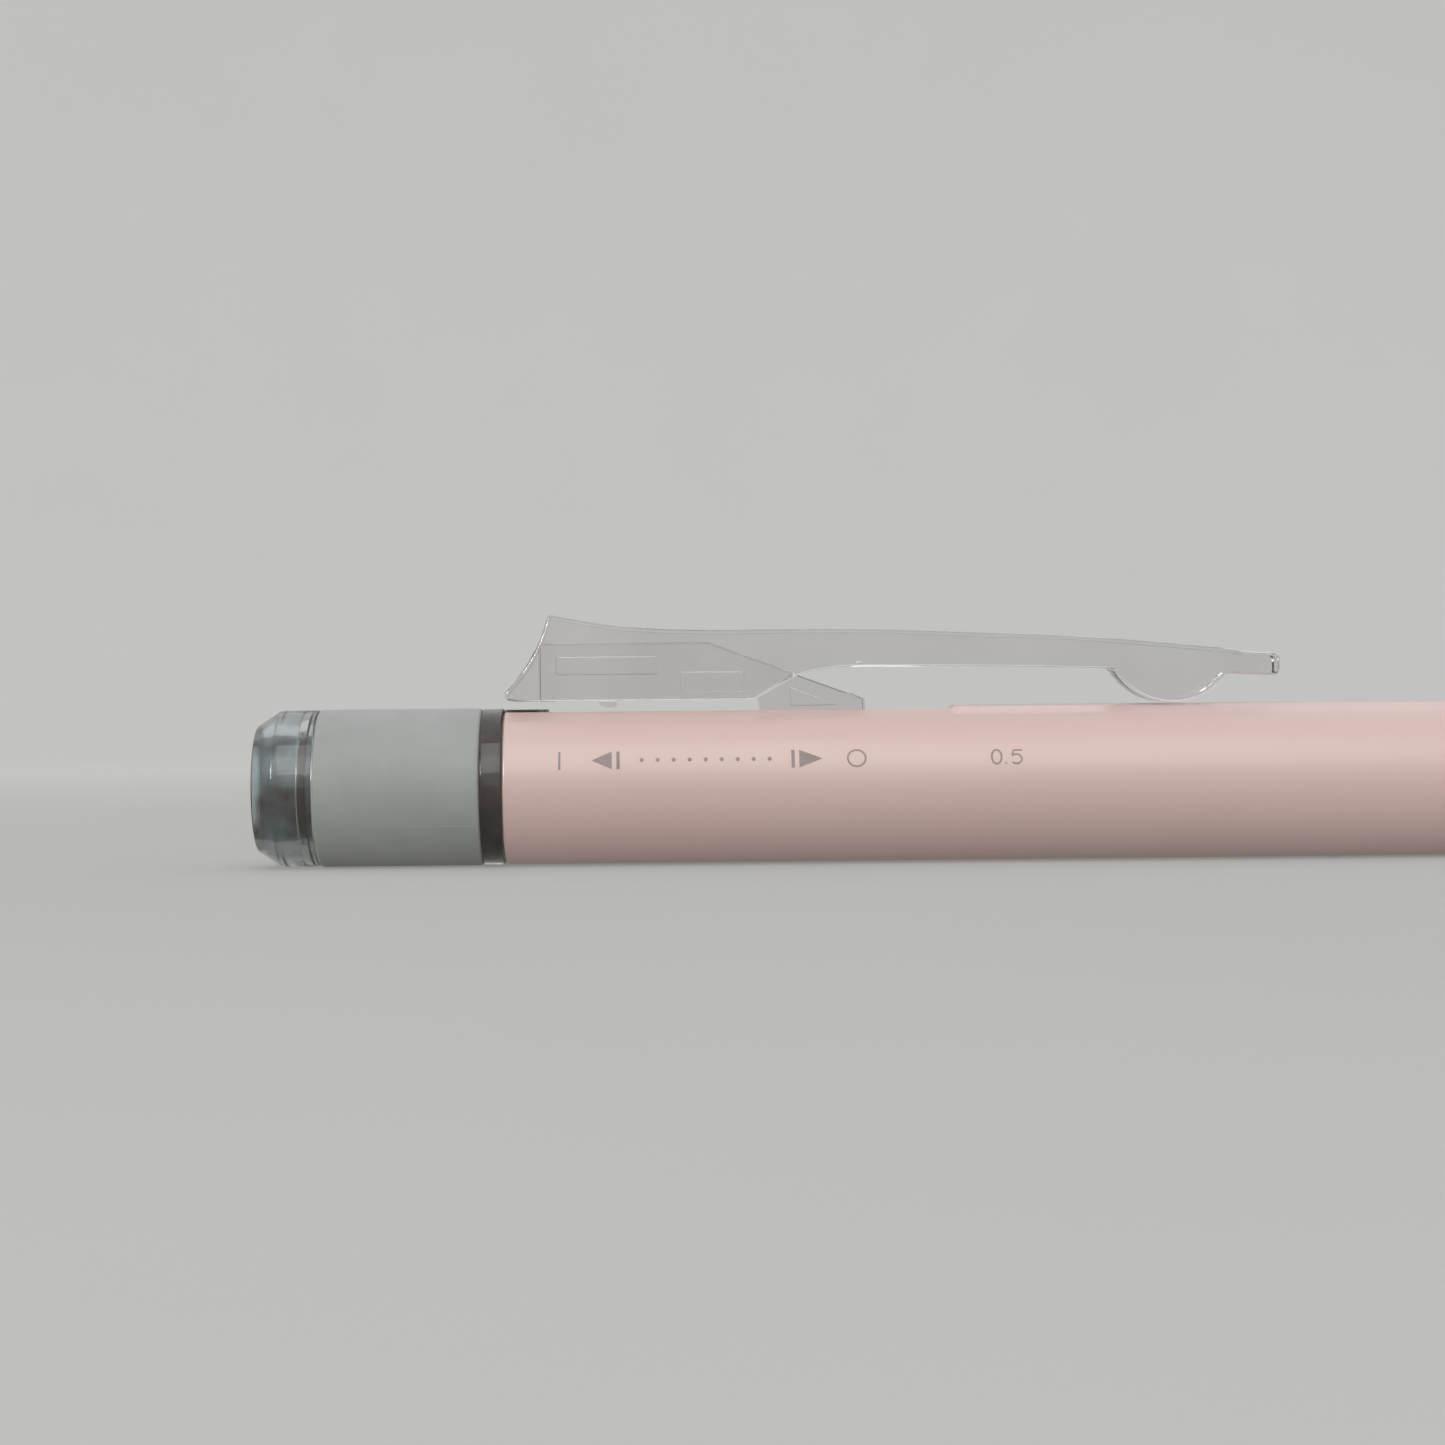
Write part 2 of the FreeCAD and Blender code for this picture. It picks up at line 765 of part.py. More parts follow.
def slider_recesses():
    """Shallow recesses in both sides of the slider: a window, a step in front of it, a wedge in the foot."""
    depth = 0.45
    window = [clip_point(3.5, 2.25), clip_point(10.4, 2.25), clip_point(10.4, 3.5), clip_point(3.5, 3.5)]
    step = [clip_point(12.0, 1.0), clip_point(16.4, 1.0), clip_point(16.4, 2.4), clip_point(12.0, 2.4)]
    wedge_base = Vector(leg_start + 0.1, 0, barrel_radius)
    wedge = [wedge_base, wedge_base + Vector(3.4, 0, 0.05), wedge_base + Vector(0, 0, 1.3)]
    recesses = []
    for side in (window, step, wedge):
        for sign in (-1, 1):
            across = Vector(0, sign * slider_width / 2, 0)
            recesses.append(corner_plate(side, 2 * depth).translated(across))
    return recesses


# ---------------------------------------------------------------- the tail unit
def twist_knob():
    """The clear knob: a chamfered end flange and a hub that the sleeve covers."""
    bore = guide_tube_radius + hub_clearance
    relief_start = flange_length - 1.15
    relief_end = flange_length - 0.55
    relief = bore + 0.45
    return turned(
        (0, bore + 0.25),
        (0, barrel_radius - tail_chamfer_depth - 0.12),
        (0.12, barrel_radius - tail_chamfer_depth),
        (tail_chamfer_length, barrel_radius - 0.05),
        (tail_chamfer_length + 0.35, barrel_radius),
        (flange_length, barrel_radius),
        (flange_length, hub_radius),
        (sleeve_end, hub_radius),
        (sleeve_end, bore),
        (relief_end, bore),
        (relief_end, relief),
        (relief_start, relief),
        (relief_start, bore),
        (0.25, bore),
    )


def knob_sleeve():
    """The grey sleeve round the knob's hub."""
    edge = 0.18
    return turned(
        (sleeve_start, sleeve_radius - sleeve_wall),
        (sleeve_end, sleeve_radius - sleeve_wall),
        (sleeve_end, sleeve_radius - edge),
        (sleeve_end - edge, sleeve_radius),
        (sleeve_start + edge, sleeve_radius),
        (sleeve_start, sleeve_radius - edge),
    )


def joint_ring():
    """The clear ring at the barrel's end, which turns with the knob."""
    bore = guide_tube_radius + hub_clearance
    edge = 0.15
    return turned(
        (ring_start, bore),
        (ring_end, bore),
        (ring_end, barrel_radius - edge),
        (ring_end - edge, barrel_radius),
        (ring_start + edge, barrel_radius),
        (ring_start, barrel_radius - edge),
    )


def guide_tube():
    """The dark tube that carries the eraser. Two straight slots let the holder's pegs through."""
    seat = guide_tube_radius - guide_tube_wall / 2
    retainer_end = retainer_start + retainer_length
    body = turned(
        (tube_recess, guide_tube_bore),
        (guide_tube_end, guide_tube_bore),
        (guide_tube_end, guide_tube_radius),
        (retainer_end, guide_tube_radius),
        (retainer_end, seat),
        (retainer_start, seat),
        (retainer_start, guide_tube_radius),
        (tube_recess + 0.15, guide_tube_radius),
        (tube_recess, guide_tube_radius - 0.15),
    )
    slot_start = peg_station - eraser_travel - peg_room
    return body.cut(brick(slot_start, peg_station + peg_room, 3 * barrel_radius, -peg_room, peg_room))


def retaining_ring():
    """A split ring in the guide tube's groove that keeps the tube in the spiral tube."""
    inner = guide_tube_radius - guide_tube_wall / 2 + 0.01
    end = retainer_start + retainer_length
    ring = tube(retainer_start + 0.02, end - 0.02, inner + retainer_height, inner)
    return ring.cut(radial_cut(retainer_start, end, 1.2, barrel_bore, 180))


def spiral_tube():
    """The tube that plugs into the barrel, keyed to its slot. Two helical grooves inside drive the pegs."""
    start = barrel_start + 0.02
    body = tube(start, spiral_end, spiral_radius, spiral_bore)
    key_ring = tube(start, start + key_length, barrel_radius - key_drop, spiral_radius - 0.1)
    key = key_ring.common(brick(start, start + key_length, slot_width - 2 * key_clearance, 0, barrel_radius))
    body = body.fuse(key).removeSplitter()
    return body.cut(Part.makeCompound([spiral_groove(0), spiral_groove(180)]))


def spiral_groove(turn):
    """A left-handed helical cut. Its middle passes a peg at rest, and again at the end of its travel."""
    overrun = groove_overrun * spiral_pitch
    length = eraser_travel + 2 * overrun
    low = spiral_bore - 0.25
    high = spiral_bore + groove_depth
    corners = [
        Vector(low, 0, -peg_room),
        Vector(high, 0, -peg_room),
        Vector(high, 0, peg_room),
        Vector(low, 0, peg_room),
    ]
    section = Part.makePolygon(corners + corners[:1])
    path = Part.makeHelix(spiral_pitch, length, spiral_bore)
    right_handed = Part.Wire(path.Edges).makePipeShell([section], True, True)
    cut = right_handed.mirror(Vector(0, 0, 0), Vector(0, 1, 0))
    cut.rotate(Vector(0, 0, 0), Vector(0, 1, 0), 90)
    start = peg_station - eraser_travel - overrun
    turn_to_peg = 90 + 360 * (peg_station - start) / spiral_pitch
    cut.rotate(Vector(0, 0, 0), Vector(1, 0, 0), turn_to_peg + turn)
    return cut.translated(Vector(start, 0, 0))


def eraser_holder():
    """A cup that grips the eraser's neck, with two pegs that stand out into the spiral grooves."""
    outer = guide_tube_bore - running_clearance
    cup = eraser_radius - holder_cup_wall
    cup_start = eraser_end - eraser_neck_length + 0.1
    body = turned(
        (cup_start, cup),
        (eraser_end, cup),
        (eraser_end, 0),
        (eraser_end + holder_floor, 0),
        (eraser_end + holder_floor, outer),
        (cup_start, outer),
    )
    reach = spiral_bore + groove_depth - peg_clearance
    pegs = Part.makeCylinder(peg_radius, 2 * reach, Vector(peg_station, -reach, 0), Vector(0, 1, 0))
    return body.fuse(pegs).removeSplitter()


def eraser():
    """The eraser stick, with a neck that the holder grips."""
    neck = eraser_radius - eraser_neck_step
    neck_start = eraser_end - eraser_neck_length
    edge = 0.3
    return turned(
        (end_recess, 0),
        (eraser_end, 0),
        (eraser_end, neck),
        (neck_start, neck),
        (neck_start, eraser_radius),
        (end_recess + edge, eraser_radius),
        (end_recess, eraser_radius - edge),
    )


# ---------------------------------------------------------------- all the pieces, by node name
PIECES = {
    "barrel": barrel,
    "tip_cone": tip_cone,
    "lead_pipe": lead_pipe,
    "lead_retainer": lead_retainer,
    "chuck_guide": chuck_guide,
    "weight_stop": weight_stop,
    "lock_cam": lock_cam,
    "return_spring": return_spring,
    "chuck": chuck,
    "chuck_ring": chuck_ring,
    "tank_connector": tank_connector,
    "lead_tank": lead_tank,
    "tank_funnel": tank_funnel,
    "spare_leads": spare_leads,
    "buffer_spring": buffer_spring,
    "lead": lead,
    "shaker_weight": shaker_weight,
    "lock_collar": lock_collar,
    "knock_sleeve": knock_sleeve,
    "clip": clip,
    "clip_slider": clip_slider,
    "twist_knob": twist_knob,
    "knob_sleeve": knob_sleeve,
    "joint_ring": joint_ring,
    "guide_tube": guide_tube,
    "retaining_ring": retaining_ring,
    "spiral_tube": spiral_tube,
    "eraser_holder": eraser_holder,
    "eraser": eraser,
}


def write_parts():
    """Moves each piece into the part's frame and writes it to parts/, one STEP file a node."""
    os.makedirs("parts", exist_ok=True)
    to_frame = Vector(-overall_length / 2, 0, sleeve_radius)
    for name, make in PIECES.items():
        shape = make().translated(to_frame)
        if not shape.isValid() or not shape.Solids:
            raise SystemExit(f"{name} is not a valid solid")
        shape.exportStep(f"parts/{name}.step")
        print(f"{name:15s} {len(shape.Solids)} solid(s), {shape.Volume:9.3f} mm3")
    print(f"overall length {overall_length:.2f} mm, barrel diameter {2 * barrel_radius:.2f} mm")


write_parts()
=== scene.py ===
import math

import bmesh
import bpy
import numpy as np
from mathutils import Matrix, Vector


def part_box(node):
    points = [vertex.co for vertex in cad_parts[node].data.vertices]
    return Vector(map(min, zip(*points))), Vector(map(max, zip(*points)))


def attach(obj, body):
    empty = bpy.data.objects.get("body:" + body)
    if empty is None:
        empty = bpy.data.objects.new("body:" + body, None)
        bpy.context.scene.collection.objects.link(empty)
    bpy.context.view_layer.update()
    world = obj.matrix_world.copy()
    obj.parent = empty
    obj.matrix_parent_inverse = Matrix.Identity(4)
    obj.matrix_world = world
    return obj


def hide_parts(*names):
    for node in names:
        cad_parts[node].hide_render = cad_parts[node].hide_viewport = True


MM = 0.001
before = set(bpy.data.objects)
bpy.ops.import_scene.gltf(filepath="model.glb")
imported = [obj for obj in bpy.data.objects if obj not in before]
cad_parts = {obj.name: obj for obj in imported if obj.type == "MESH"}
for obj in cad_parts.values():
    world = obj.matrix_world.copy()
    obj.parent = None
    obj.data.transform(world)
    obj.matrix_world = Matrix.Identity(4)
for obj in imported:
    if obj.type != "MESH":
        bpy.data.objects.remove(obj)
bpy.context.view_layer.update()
TAIL_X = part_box("twist_knob")[0].x
AXIS_Z = sum(corner.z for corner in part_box("knob_sleeve")) / 2


def span(node):
    """Where a CAD node starts and ends along the pencil, and its largest radius, in millimetres."""
    low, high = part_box(node)
    return (low.x - TAIL_X) / MM, (high.x - TAIL_X) / MM, (high.y - low.y) / 2 / MM


def place(station, across, up):
    """Millimetres along, across and above the pencil's axis become points of the frame, in metres."""
    station, across, up = np.broadcast_arrays(station, across, up)
    return np.stack([TAIL_X + station * MM, across * MM, AXIS_Z + up * MM], axis=-1)


BARREL_START, BARREL_END, BARREL_RADIUS = span("barrel")
SLEEVE_START, SLEEVE_END, SLEEVE_RADIUS = span("knob_sleeve")
RING_START, RING_END, _ = span("joint_ring")
print(f"barrel {BARREL_START:.2f} to {BARREL_END:.2f} mm, radius {BARREL_RADIUS:.2f} mm")

# %% [markdown]
# ## The camera
# A portrait lens close to the pencil: 18 cm away, level, and a little above the table. The camera is
# turned a touch towards the tip and rolled half a degree, as a hand holds it, so the barrel runs off
# the right edge of the frame and rises slightly. Three unit directions, right, up and back, are the
# columns of the camera's matrix.
# %% Camera
EYE = (-0.04653, -0.18136, 0.009656)
TURN, ROLL, LENS = 0.02358, -0.00932, 65.68

level = np.array([math.cos(TURN), -math.sin(TURN), 0.0])
forward = np.array([math.sin(TURN), math.cos(TURN), 0.0])
upright = np.array([0.0, 0.0, 1.0])
right = math.cos(ROLL) * level + math.sin(ROLL) * upright
up = np.cross(right, forward)
lens = bpy.data.cameras.new("table_camera")
lens.lens, lens.sensor_width, lens.clip_start = LENS, 36.0, 0.005
camera = bpy.data.objects.new("table_camera", lens)
matrix = np.eye(4)
matrix[:3] = np.stack([right, up, -forward, EYE], axis=-1)
camera.matrix_world = Matrix(matrix)
bpy.context.scene.collection.objects.link(camera)
bpy.context.scene.camera = camera
print("camera looks along", np.round(forward, 3))

# %% [markdown]
# ## Two small tools for materials
# Colours are picked as sRGB hex values, as a paint chart gives them, but the renderer works with linear
# light, so one function converts them. The other adds a node, sets its values and links its inputs, so
# that a whole material reads as a few lines.
# %% Colour and node helpers


def linear(colour):
    """sRGB hex to linear: below 0.04045 a channel is divided by 12.92, above it follows a 2.4 power."""
    c = np.array([int(colour[i : i + 2], 16) for i in (1, 3, 5)]) / 255
    return (*np.where(c <= 0.04045, c / 12.92, ((c + 0.055) / 1.055) ** 2.4).tolist(), 1.0)


def add(tree, kind, inputs=None, **settings):
    """Adds one node. A socket among the inputs is linked, and anything else is its plain value."""
    node = tree.nodes.new("ShaderNode" + kind)
    for name, value in settings.items():
        setattr(node, name, value)
    for name, value in (inputs or {}).items():
        if isinstance(value, bpy.types.NodeSocket):
            tree.links.new(value, node.inputs[name])
        else:
            node.inputs[name].default_value = value
    return node


def per_mm(size):
    """The scale of a noise pattern whose patches are about size millimetres across."""
    return 1 / (size * MM)


print("mid grey in linear light:", round(linear("#808080")[0], 3))

# %% [markdown]
# ## Moulded plastics
# Most of the pencil is injection-moulded plastic. Up close it is never one flat colour: pigment swirls a
# little, the tool leaves a fine grain, and handling leaves glossier or duller patches. Three noise
# patterns on Object coordinates give these: a slow one for the colour, a middle one for the gloss and a
# fine one for the grain's bump. One function makes them all, because only sizes and amounts differ.
# %% Moulded plastic recipe
MATERIALS = {}


def moulded(name, shades, mottle, gloss, grain, **shader):
    """Plastic with three patterns: shades (two hex colours, mixed by noise of mottle mm), gloss (low and
    high roughness, patch mm) and grain (size mm, height mm). The rest are plain values of the shader."""
    material = bpy.data.materials.new(name)
    material.use_nodes = True
    tree = material.node_tree
    surface = tree.nodes["Principled BSDF"]
    where = add(tree, "TexCoord").outputs["Object"]
    swirl = add(tree, "TexNoise", {"Vector": where, "Scale": per_mm(mottle), "Detail": 3.0})
    tint = add(tree, "ValToRGB", {"Fac": swirl.outputs["Fac"]})
    tint.color_ramp.elements[0].position, tint.color_ramp.elements[1].position = 0.3, 0.7
    tint.color_ramp.elements[0].color, tint.color_ramp.elements[1].color = map(linear, shades)
    patch = add(tree, "TexNoise", {"Vector": where, "Scale": per_mm(gloss[2]), "Detail": 4.0})
    rough = add(tree, "MapRange", {"Value": patch.outputs["Fac"], "From Min": 0.3, "From Max": 0.7,
                                   "To Min": gloss[0], "To Max": gloss[1]})
    tooth = add(tree, "TexNoise", {"Vector": where, "Scale": per_mm(grain[0]), "Detail": 2.0})
    bump = add(tree, "Bump", {"Height": tooth.outputs["Fac"], "Distance": grain[1] * MM, "Strength": 0.5})
    tree.links.new(tint.outputs["Color"], surface.inputs["Base Color"])
    tree.links.new(rough.outputs["Result"], surface.inputs["Roughness"])
    tree.links.new(bump.outputs["Normal"], surface.inputs["Normal"])
    for socket, value in shader.items():
        surface.inputs[socket.replace("_", " ")].default_value = value
    MATERIALS[name] = material


# Glossy ABS, moulded and buffed: pale pink, with the soft orange peel of a polished tool, 0.6 mm across.
moulded("pink_barrel", ("#D1B3AE", "#D3B7B2"), 30.0, (0.3, 0.33, 9.0), (0.6, 0.0001), IOR=1.5,
        Coat_Weight=0.5, Coat_Roughness=0.3)
# Soft-feel elastomer sleeve: spark-eroded tool, so a fine even grain and a broad dull sheen.
moulded("grey_sleeve", ("#959896", "#9C9F9D"), 3.5, (0.5, 0.64, 1.8), (0.09, 0.006), IOR=1.5,
        Sheen_Weight=0.15, Sheen_Roughness=0.5)
# Acetal: waxy white, slightly see-through at its edges.
moulded("white_resin", ("#DAD9D3", "#E4E3DE"), 2.5, (0.32, 0.45, 2.0), (0.15, 0.002), IOR=1.48,
        Subsurface_Weight=0.15, Subsurface_Scale=0.002)
# Milky polypropylene, extruded: the tank and the knock sleeve.
moulded("tank_resin", ("#C6C8C8", "#D2D3D2"), 3.0, (0.28, 0.4, 2.5), (0.2, 0.002), IOR=1.49,
        Subsurface_Weight=0.3, Subsurface_Scale=0.003)
# Black moulded plastic of the spiral tube.
moulded("black_resin", ("#1C1B1B", "#262424"), 2.0, (0.35, 0.5, 1.5), (0.12, 0.003), IOR=1.5)
# Nitrile rubber bush.
moulded("rubber", ("#201F1E", "#2B2A29"), 1.2, (0.6, 0.75, 1.0), (0.08, 0.006), IOR=1.52)
# Vinyl eraser: white, matt, with a dusty bloom.
moulded("white_eraser", ("#DDDCD6", "#EBEAE5"), 1.6, (0.6, 0.75, 1.0), (0.12, 0.012), IOR=1.5,
        Subsurface_Weight=0.2, Subsurface_Scale=0.002)
# Polymer-bound graphite: dark grey with a dull metallic shine.
moulded("graphite", ("#2B2C2F", "#3D3E42"), 0.5, (0.35, 0.5, 0.6), (0.05, 0.004), IOR=1.7, Metallic=0.3)
print("moulded plastics:", ", ".join(MATERIALS))

# %% [markdown]
# ## Turned and drawn metal
# The cone is turned brass with a satin nickel plate, the pipe is drawn steel, the springs are wire and
# the chuck is bare brass. A lathe tool leaves rings round the axis, so the pattern here is a wave along
# the pencil: fine rings, 0.08 mm apart, that shift the roughness and the bump a little. A slower noise
# breaks them up. The metal keeps the default IOR, because its colour alone sets what it reflects.
# %% Metal recipe


def turned_metal(name, shades, gloss, ring, groove):
    """Metal with tool rings ring mm apart and groove mm deep, and a colour that wanders slightly."""
    material = bpy.data.materials.new(name)
    material.use_nodes = True
    tree = material.node_tree
    surface = tree.nodes["Principled BSDF"]
    where = add(tree, "TexCoord").outputs["Object"]
    cloud = add(tree, "TexNoise", {"Vector": where, "Scale": per_mm(2.5), "Detail": 3.0})
    tint = add(tree, "ValToRGB", {"Fac": cloud.outputs["Fac"]})
    tint.color_ramp.elements[0].color, tint.color_ramp.elements[1].color = map(linear, shades)
    rings = add(tree, "TexWave", {"Vector": where, "Scale": per_mm(ring) / 20, "Distortion": 0.6,
                                  "Detail": 1.0}, bands_direction="X")
    rough = add(tree, "MapRange", {"Value": rings.outputs["Fac"], "To Min": gloss[0], "To Max": gloss[1]})
    bump = add(tree, "Bump", {"Height": rings.outputs["Fac"], "Distance": groove * MM, "Strength": 0.4})
    tree.links.new(tint.outputs["Color"], surface.inputs["Base Color"])
    tree.links.new(rough.outputs["Result"], surface.inputs["Roughness"])
    tree.links.new(bump.outputs["Normal"], surface.inputs["Normal"])
    surface.inputs["Metallic"].default_value = 1.0
    MATERIALS[name] = material


turned_metal("nickel_cone", ("#B9B6B0", "#C6C3BE"), (0.2, 0.3), 0.16, 0.002)
turned_metal("steel", ("#B3B3B4", "#C4C4C5"), (0.18, 0.3), 0.12, 0.001)
turned_metal("spring_steel", ("#A3A4A6", "#B5B6B8"), (0.2, 0.35), 0.3, 0.001)
turned_metal("brass", ("#C9A765", "#D8B875"), (0.22, 0.36), 0.12, 0.002)
print("metals:", len(MATERIALS) - 8)

# %% [markdown]
# ## Clear plastics
# The clip, its slider, the knob and the ring are clear mouldings. Real transmission bends what lies
# behind them, which is what draws their edges: a clear part is mostly seen by its corners. The clip is
# polycarbonate with a faint haze, and the knob is a styrene resin with a grey tint. The haze is a low
# roughness that a slow noise varies, with a very shallow bump for the flow of the melt. Lamps can't look
# through refracting faces without much noise, so their rays are let straight through by a mix shader.
# Walls that touch what they hold barely reflect, so the clip's channel and the ring's bore get an IOR near
# 1, and the knob's bore has a blue and brown mist that is painted reflection and shade: bluish patches
# for the gloss seen in the bore, brownish ones for its dark.
# %% Clear plastic recipe


def clear(name, shades, ior, haze, flow, clarity=1.0):
    """Clear plastic: shades by noise of flow mm, haze (low and high roughness), and a shallow flow bump. A
    clarity below 1 is a mist: the rest of the light is scattered in the shades' colour."""
    material = bpy.data.materials.new(name)
    material.use_nodes = True
    tree = material.node_tree
    surface = tree.nodes["Principled BSDF"]
    where = add(tree, "TexCoord").outputs["Object"]
    melt = add(tree, "TexNoise", {"Vector": where, "Scale": per_mm(flow), "Detail": 2.0})
    tint = add(tree, "ValToRGB", {"Fac": melt.outputs["Fac"]})
    tint.color_ramp.elements[0].position, tint.color_ramp.elements[1].position = 0.35, 0.62
    tint.color_ramp.elements[0].color, tint.color_ramp.elements[1].color = map(linear, shades)
    rough = add(tree, "MapRange", {"Value": melt.outputs["Fac"], "From Min": 0.3, "From Max": 0.7,
                                   "To Min": haze[0], "To Max": haze[1]})
    bump = add(tree, "Bump", {"Height": melt.outputs["Fac"], "Distance": 0.004 * MM, "Strength": 0.5})
    tree.links.new(tint.outputs["Color"], surface.inputs["Base Color"])
    tree.links.new(rough.outputs["Result"], surface.inputs["Roughness"])
    tree.links.new(bump.outputs["Normal"], surface.inputs["Normal"])
    surface.inputs["Transmission Weight"].default_value = clarity
    surface.inputs["IOR"].default_value = ior
    through = add(tree, "BsdfTransparent", {"Color": linear("#F6F6F5")})
    lit = add(tree, "MixShader", {0: add(tree, "LightPath").outputs["Is Shadow Ray"],
                                  1: surface.outputs["BSDF"], 2: through.outputs["BSDF"]})
    tree.links.new(lit.outputs["Shader"], tree.nodes["Material Output"].inputs["Surface"])
    MATERIALS[name] = material


clear("clear_clip", ("#E6E3E5", "#EBE9EA"), 1.5, (0.04, 0.09), 6.0)
clear("clear_channel", ("#FCFBFC", "#FEFEFE"), 1.06, (0.02, 0.04), 6.0)
clear("clear_slider", ("#FAF8F9", "#FCFBFB"), 1.3, (0.03, 0.06), 4.0)
clear("clear_ring", ("#E4E3E1", "#EDECEA"), 1.57, (0.02, 0.05), 3.0)
clear("wetted_bore", ("#F4F2F0", "#F9F8F6"), 1.04, (0.02, 0.04), 3.0)
# Painted reflection and shade in the knob's bore: bluish patches for its gloss, brownish ones for its dark.
clear("bore_painted_gloss_and_shade", ("#75695E", "#C9E2EE"), 1.5, (0.06, 0.2), 2.2, 0.75)
clear("clear_knob", ("#BFC1BF", "#C9CCCB"), 1.57, (0.02, 0.05), 3.0)
print("clear plastics:", sum(name.startswith("clear") for name in MATERIALS))

# %% [markdown]
# ## The smoked tube
# Behind the clear knob and ring sits a dark tube. It is smoke-brown plastic with a wet-looking shine,
# and its colour runs in blotches from near black to a greyish brown over two millimetres.
# %% Smoked tube
moulded("smoke_tube", ("#1F1918", "#584B47"), 2.6, (0.16, 0.3, 1.5), (0.4, 0.003), IOR=1.4,
        Specular_IOR_Level=0.3, Coat_Weight=0.05, Coat_Roughness=0.1)
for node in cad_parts.values():
    for finish in node.material_slots:
        finish.material = MATERIALS[finish.material.name.split(".")[0]]
print("materials on", len(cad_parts), "nodes")

# %% [markdown]
# ## Outlines with rounded corners
# No moulded corner is sharp: the tool has a small radius there, and that radius is what catches the
# light. So every profile is drawn as corners with a radius each. At a corner the two edges leave along
# directions u and v, and the arc that touches both has its centre on their bisector.
# %% Rounded outlines


def rounded(corners, radii, steps=5):
    """A closed outline whose corners are arcs. With half the angle between the edges as h, the centre
    lies radius / sin(h) along the bisector and the arc touches each edge at radius / tan(h). Between
    the two touches the arm from the centre turns in equal steps."""
    p = np.asarray(corners, float)
    r = np.broadcast_to(np.asarray(radii, float), len(p))[:, None]
    u, v = np.roll(p, 1, 0) - p, np.roll(p, -1, 0) - p
    u, v = (w / np.linalg.norm(w, axis=1, keepdims=True) for w in (u, v))
    half = np.arccos(np.clip((u * v).sum(1, keepdims=True), -1, 1)) / 2
    middle = (u + v) / np.linalg.norm(u + v, axis=1, keepdims=True)
    centre = p + middle * r / np.sin(half)
    arms = [p + w * r / np.tan(half) - centre for w in (u, v)]
    turn = math.pi - 2 * half[:, None]
    t = np.linspace(0, 1, steps + 1)[None, :, None]
    arc = (np.sin((1 - t) * turn) * arms[0][:, None] + np.sin(t * turn) * arms[1][:, None]) / np.sin(turn)
    return (centre[:, None] + arc).reshape(-1, 2)


print("a square with rounded corners has", len(rounded([(0, 0), (1, 0), (1, 1), (0, 1)], 0.2)), "points")

# %% [markdown]
# ## From numbers to a piece
# A surface is a grid of points: rows along one parameter, columns along the other. `quads` lists the
# four corners of each cell as whole arrays. `surface_mesh` welds the seam, drops points that no face uses
# and turns all faces outwards. `piece` marks real creases sharp and lets large flat faces rule the
# shading, so that a rounded edge doesn't smear its shade over the flat beside it.
# %% Grids and pieces


def quads(rows, columns, close_rows=False, close_columns=False):
    """The cells of a grid of points, each as four point numbers, going round each cell."""
    i = np.arange(rows if close_rows else rows - 1)[:, None]
    j = np.arange(columns if close_columns else columns - 1)[None, :]
    i2, j2 = (i + 1) % rows, (j + 1) % columns
    cells = [i * columns + j, i2 * columns + j, i2 * columns + j2, i * columns + j2]
    return np.stack(np.broadcast_arrays(*cells), axis=-1).reshape(-1, 4)


def surface_mesh(name, points, faces):
    """A mesh from points in metres and faces as lists of point numbers, welded and facing outwards."""
    mesh = bpy.data.meshes.new(name)
    mesh.from_pydata(np.asarray(points).reshape(-1, 3), [], faces)
    shape = bmesh.new()
    shape.from_mesh(mesh)
    bmesh.ops.remove_doubles(shape, verts=shape.verts, dist=0.0004 * MM)
    loose = [v for v in shape.verts if not v.link_faces]
    bmesh.ops.delete(shape, geom=loose, context="VERTS")
    bmesh.ops.recalc_face_normals(shape, faces=shape.faces)
    shape.to_mesh(mesh)
    shape.free()
    return mesh


def piece(name, mesh, body, finish, replaced=(), crease=32):
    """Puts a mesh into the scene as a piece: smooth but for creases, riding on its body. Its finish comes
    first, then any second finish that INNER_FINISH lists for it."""
    mesh.polygons.foreach_set("use_smooth", np.ones(len(mesh.polygons), bool))
    mesh.set_sharp_from_angle(angle=math.radians(crease))
    made = bpy.data.objects.new(name, mesh)
    bpy.context.scene.collection.objects.link(made)
    made.modifiers.new("flats rule the shading", "WEIGHTED_NORMAL").keep_sharp = True
    mesh.materials.clear()
    for wanted in (finish, *INNER_FINISH.get(name, ())):
        mesh.materials.append(MATERIALS[wanted])
    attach(made, body)
    if replaced:
        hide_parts(*replaced)
    mesh.calc_loop_triangles()
    print(f"{name}: {len(mesh.loop_triangles)} triangles")
    return made


INNER_FINISH = {"pocket_clip": ["clear_channel"], "lock_slider": ["clear_clip"], "tail_ring": ["wetted_bore"],
                "tail_knob": ["bore_painted_gloss_and_shade"]}


def turned(name, profile, columns=144):
    """A closed outline of (station, radius) carried round the axis: radius times cosine and sine of the
    angle give the places across and above the axis."""
    station, radius = np.asarray(profile).T[:, :, None]
    angle = np.linspace(0, 2 * math.pi, columns, endpoint=False)[None, :]
    points = place(station, radius * np.sin(angle), radius * np.cos(angle))
    return surface_mesh(name, points, quads(len(profile), columns, True, True).tolist())




def face_centres(mesh):
    """The middle of every face: stations and heights in millimetres from the tail and the axis."""
    centre = np.zeros(3 * len(mesh.polygons), np.float32)
    mesh.polygons.foreach_get("center", centre)
    return (centre.reshape(-1, 3) - [TAIL_X, 0, AXIS_Z]) / MM


def inner_faces(made, chosen):
    """Gives the chosen faces the piece's second finish."""
    made.data.polygons.foreach_set("material_index", chosen.astype(np.int32))
    print(made.name, "has", chosen.sum(), "inner faces")


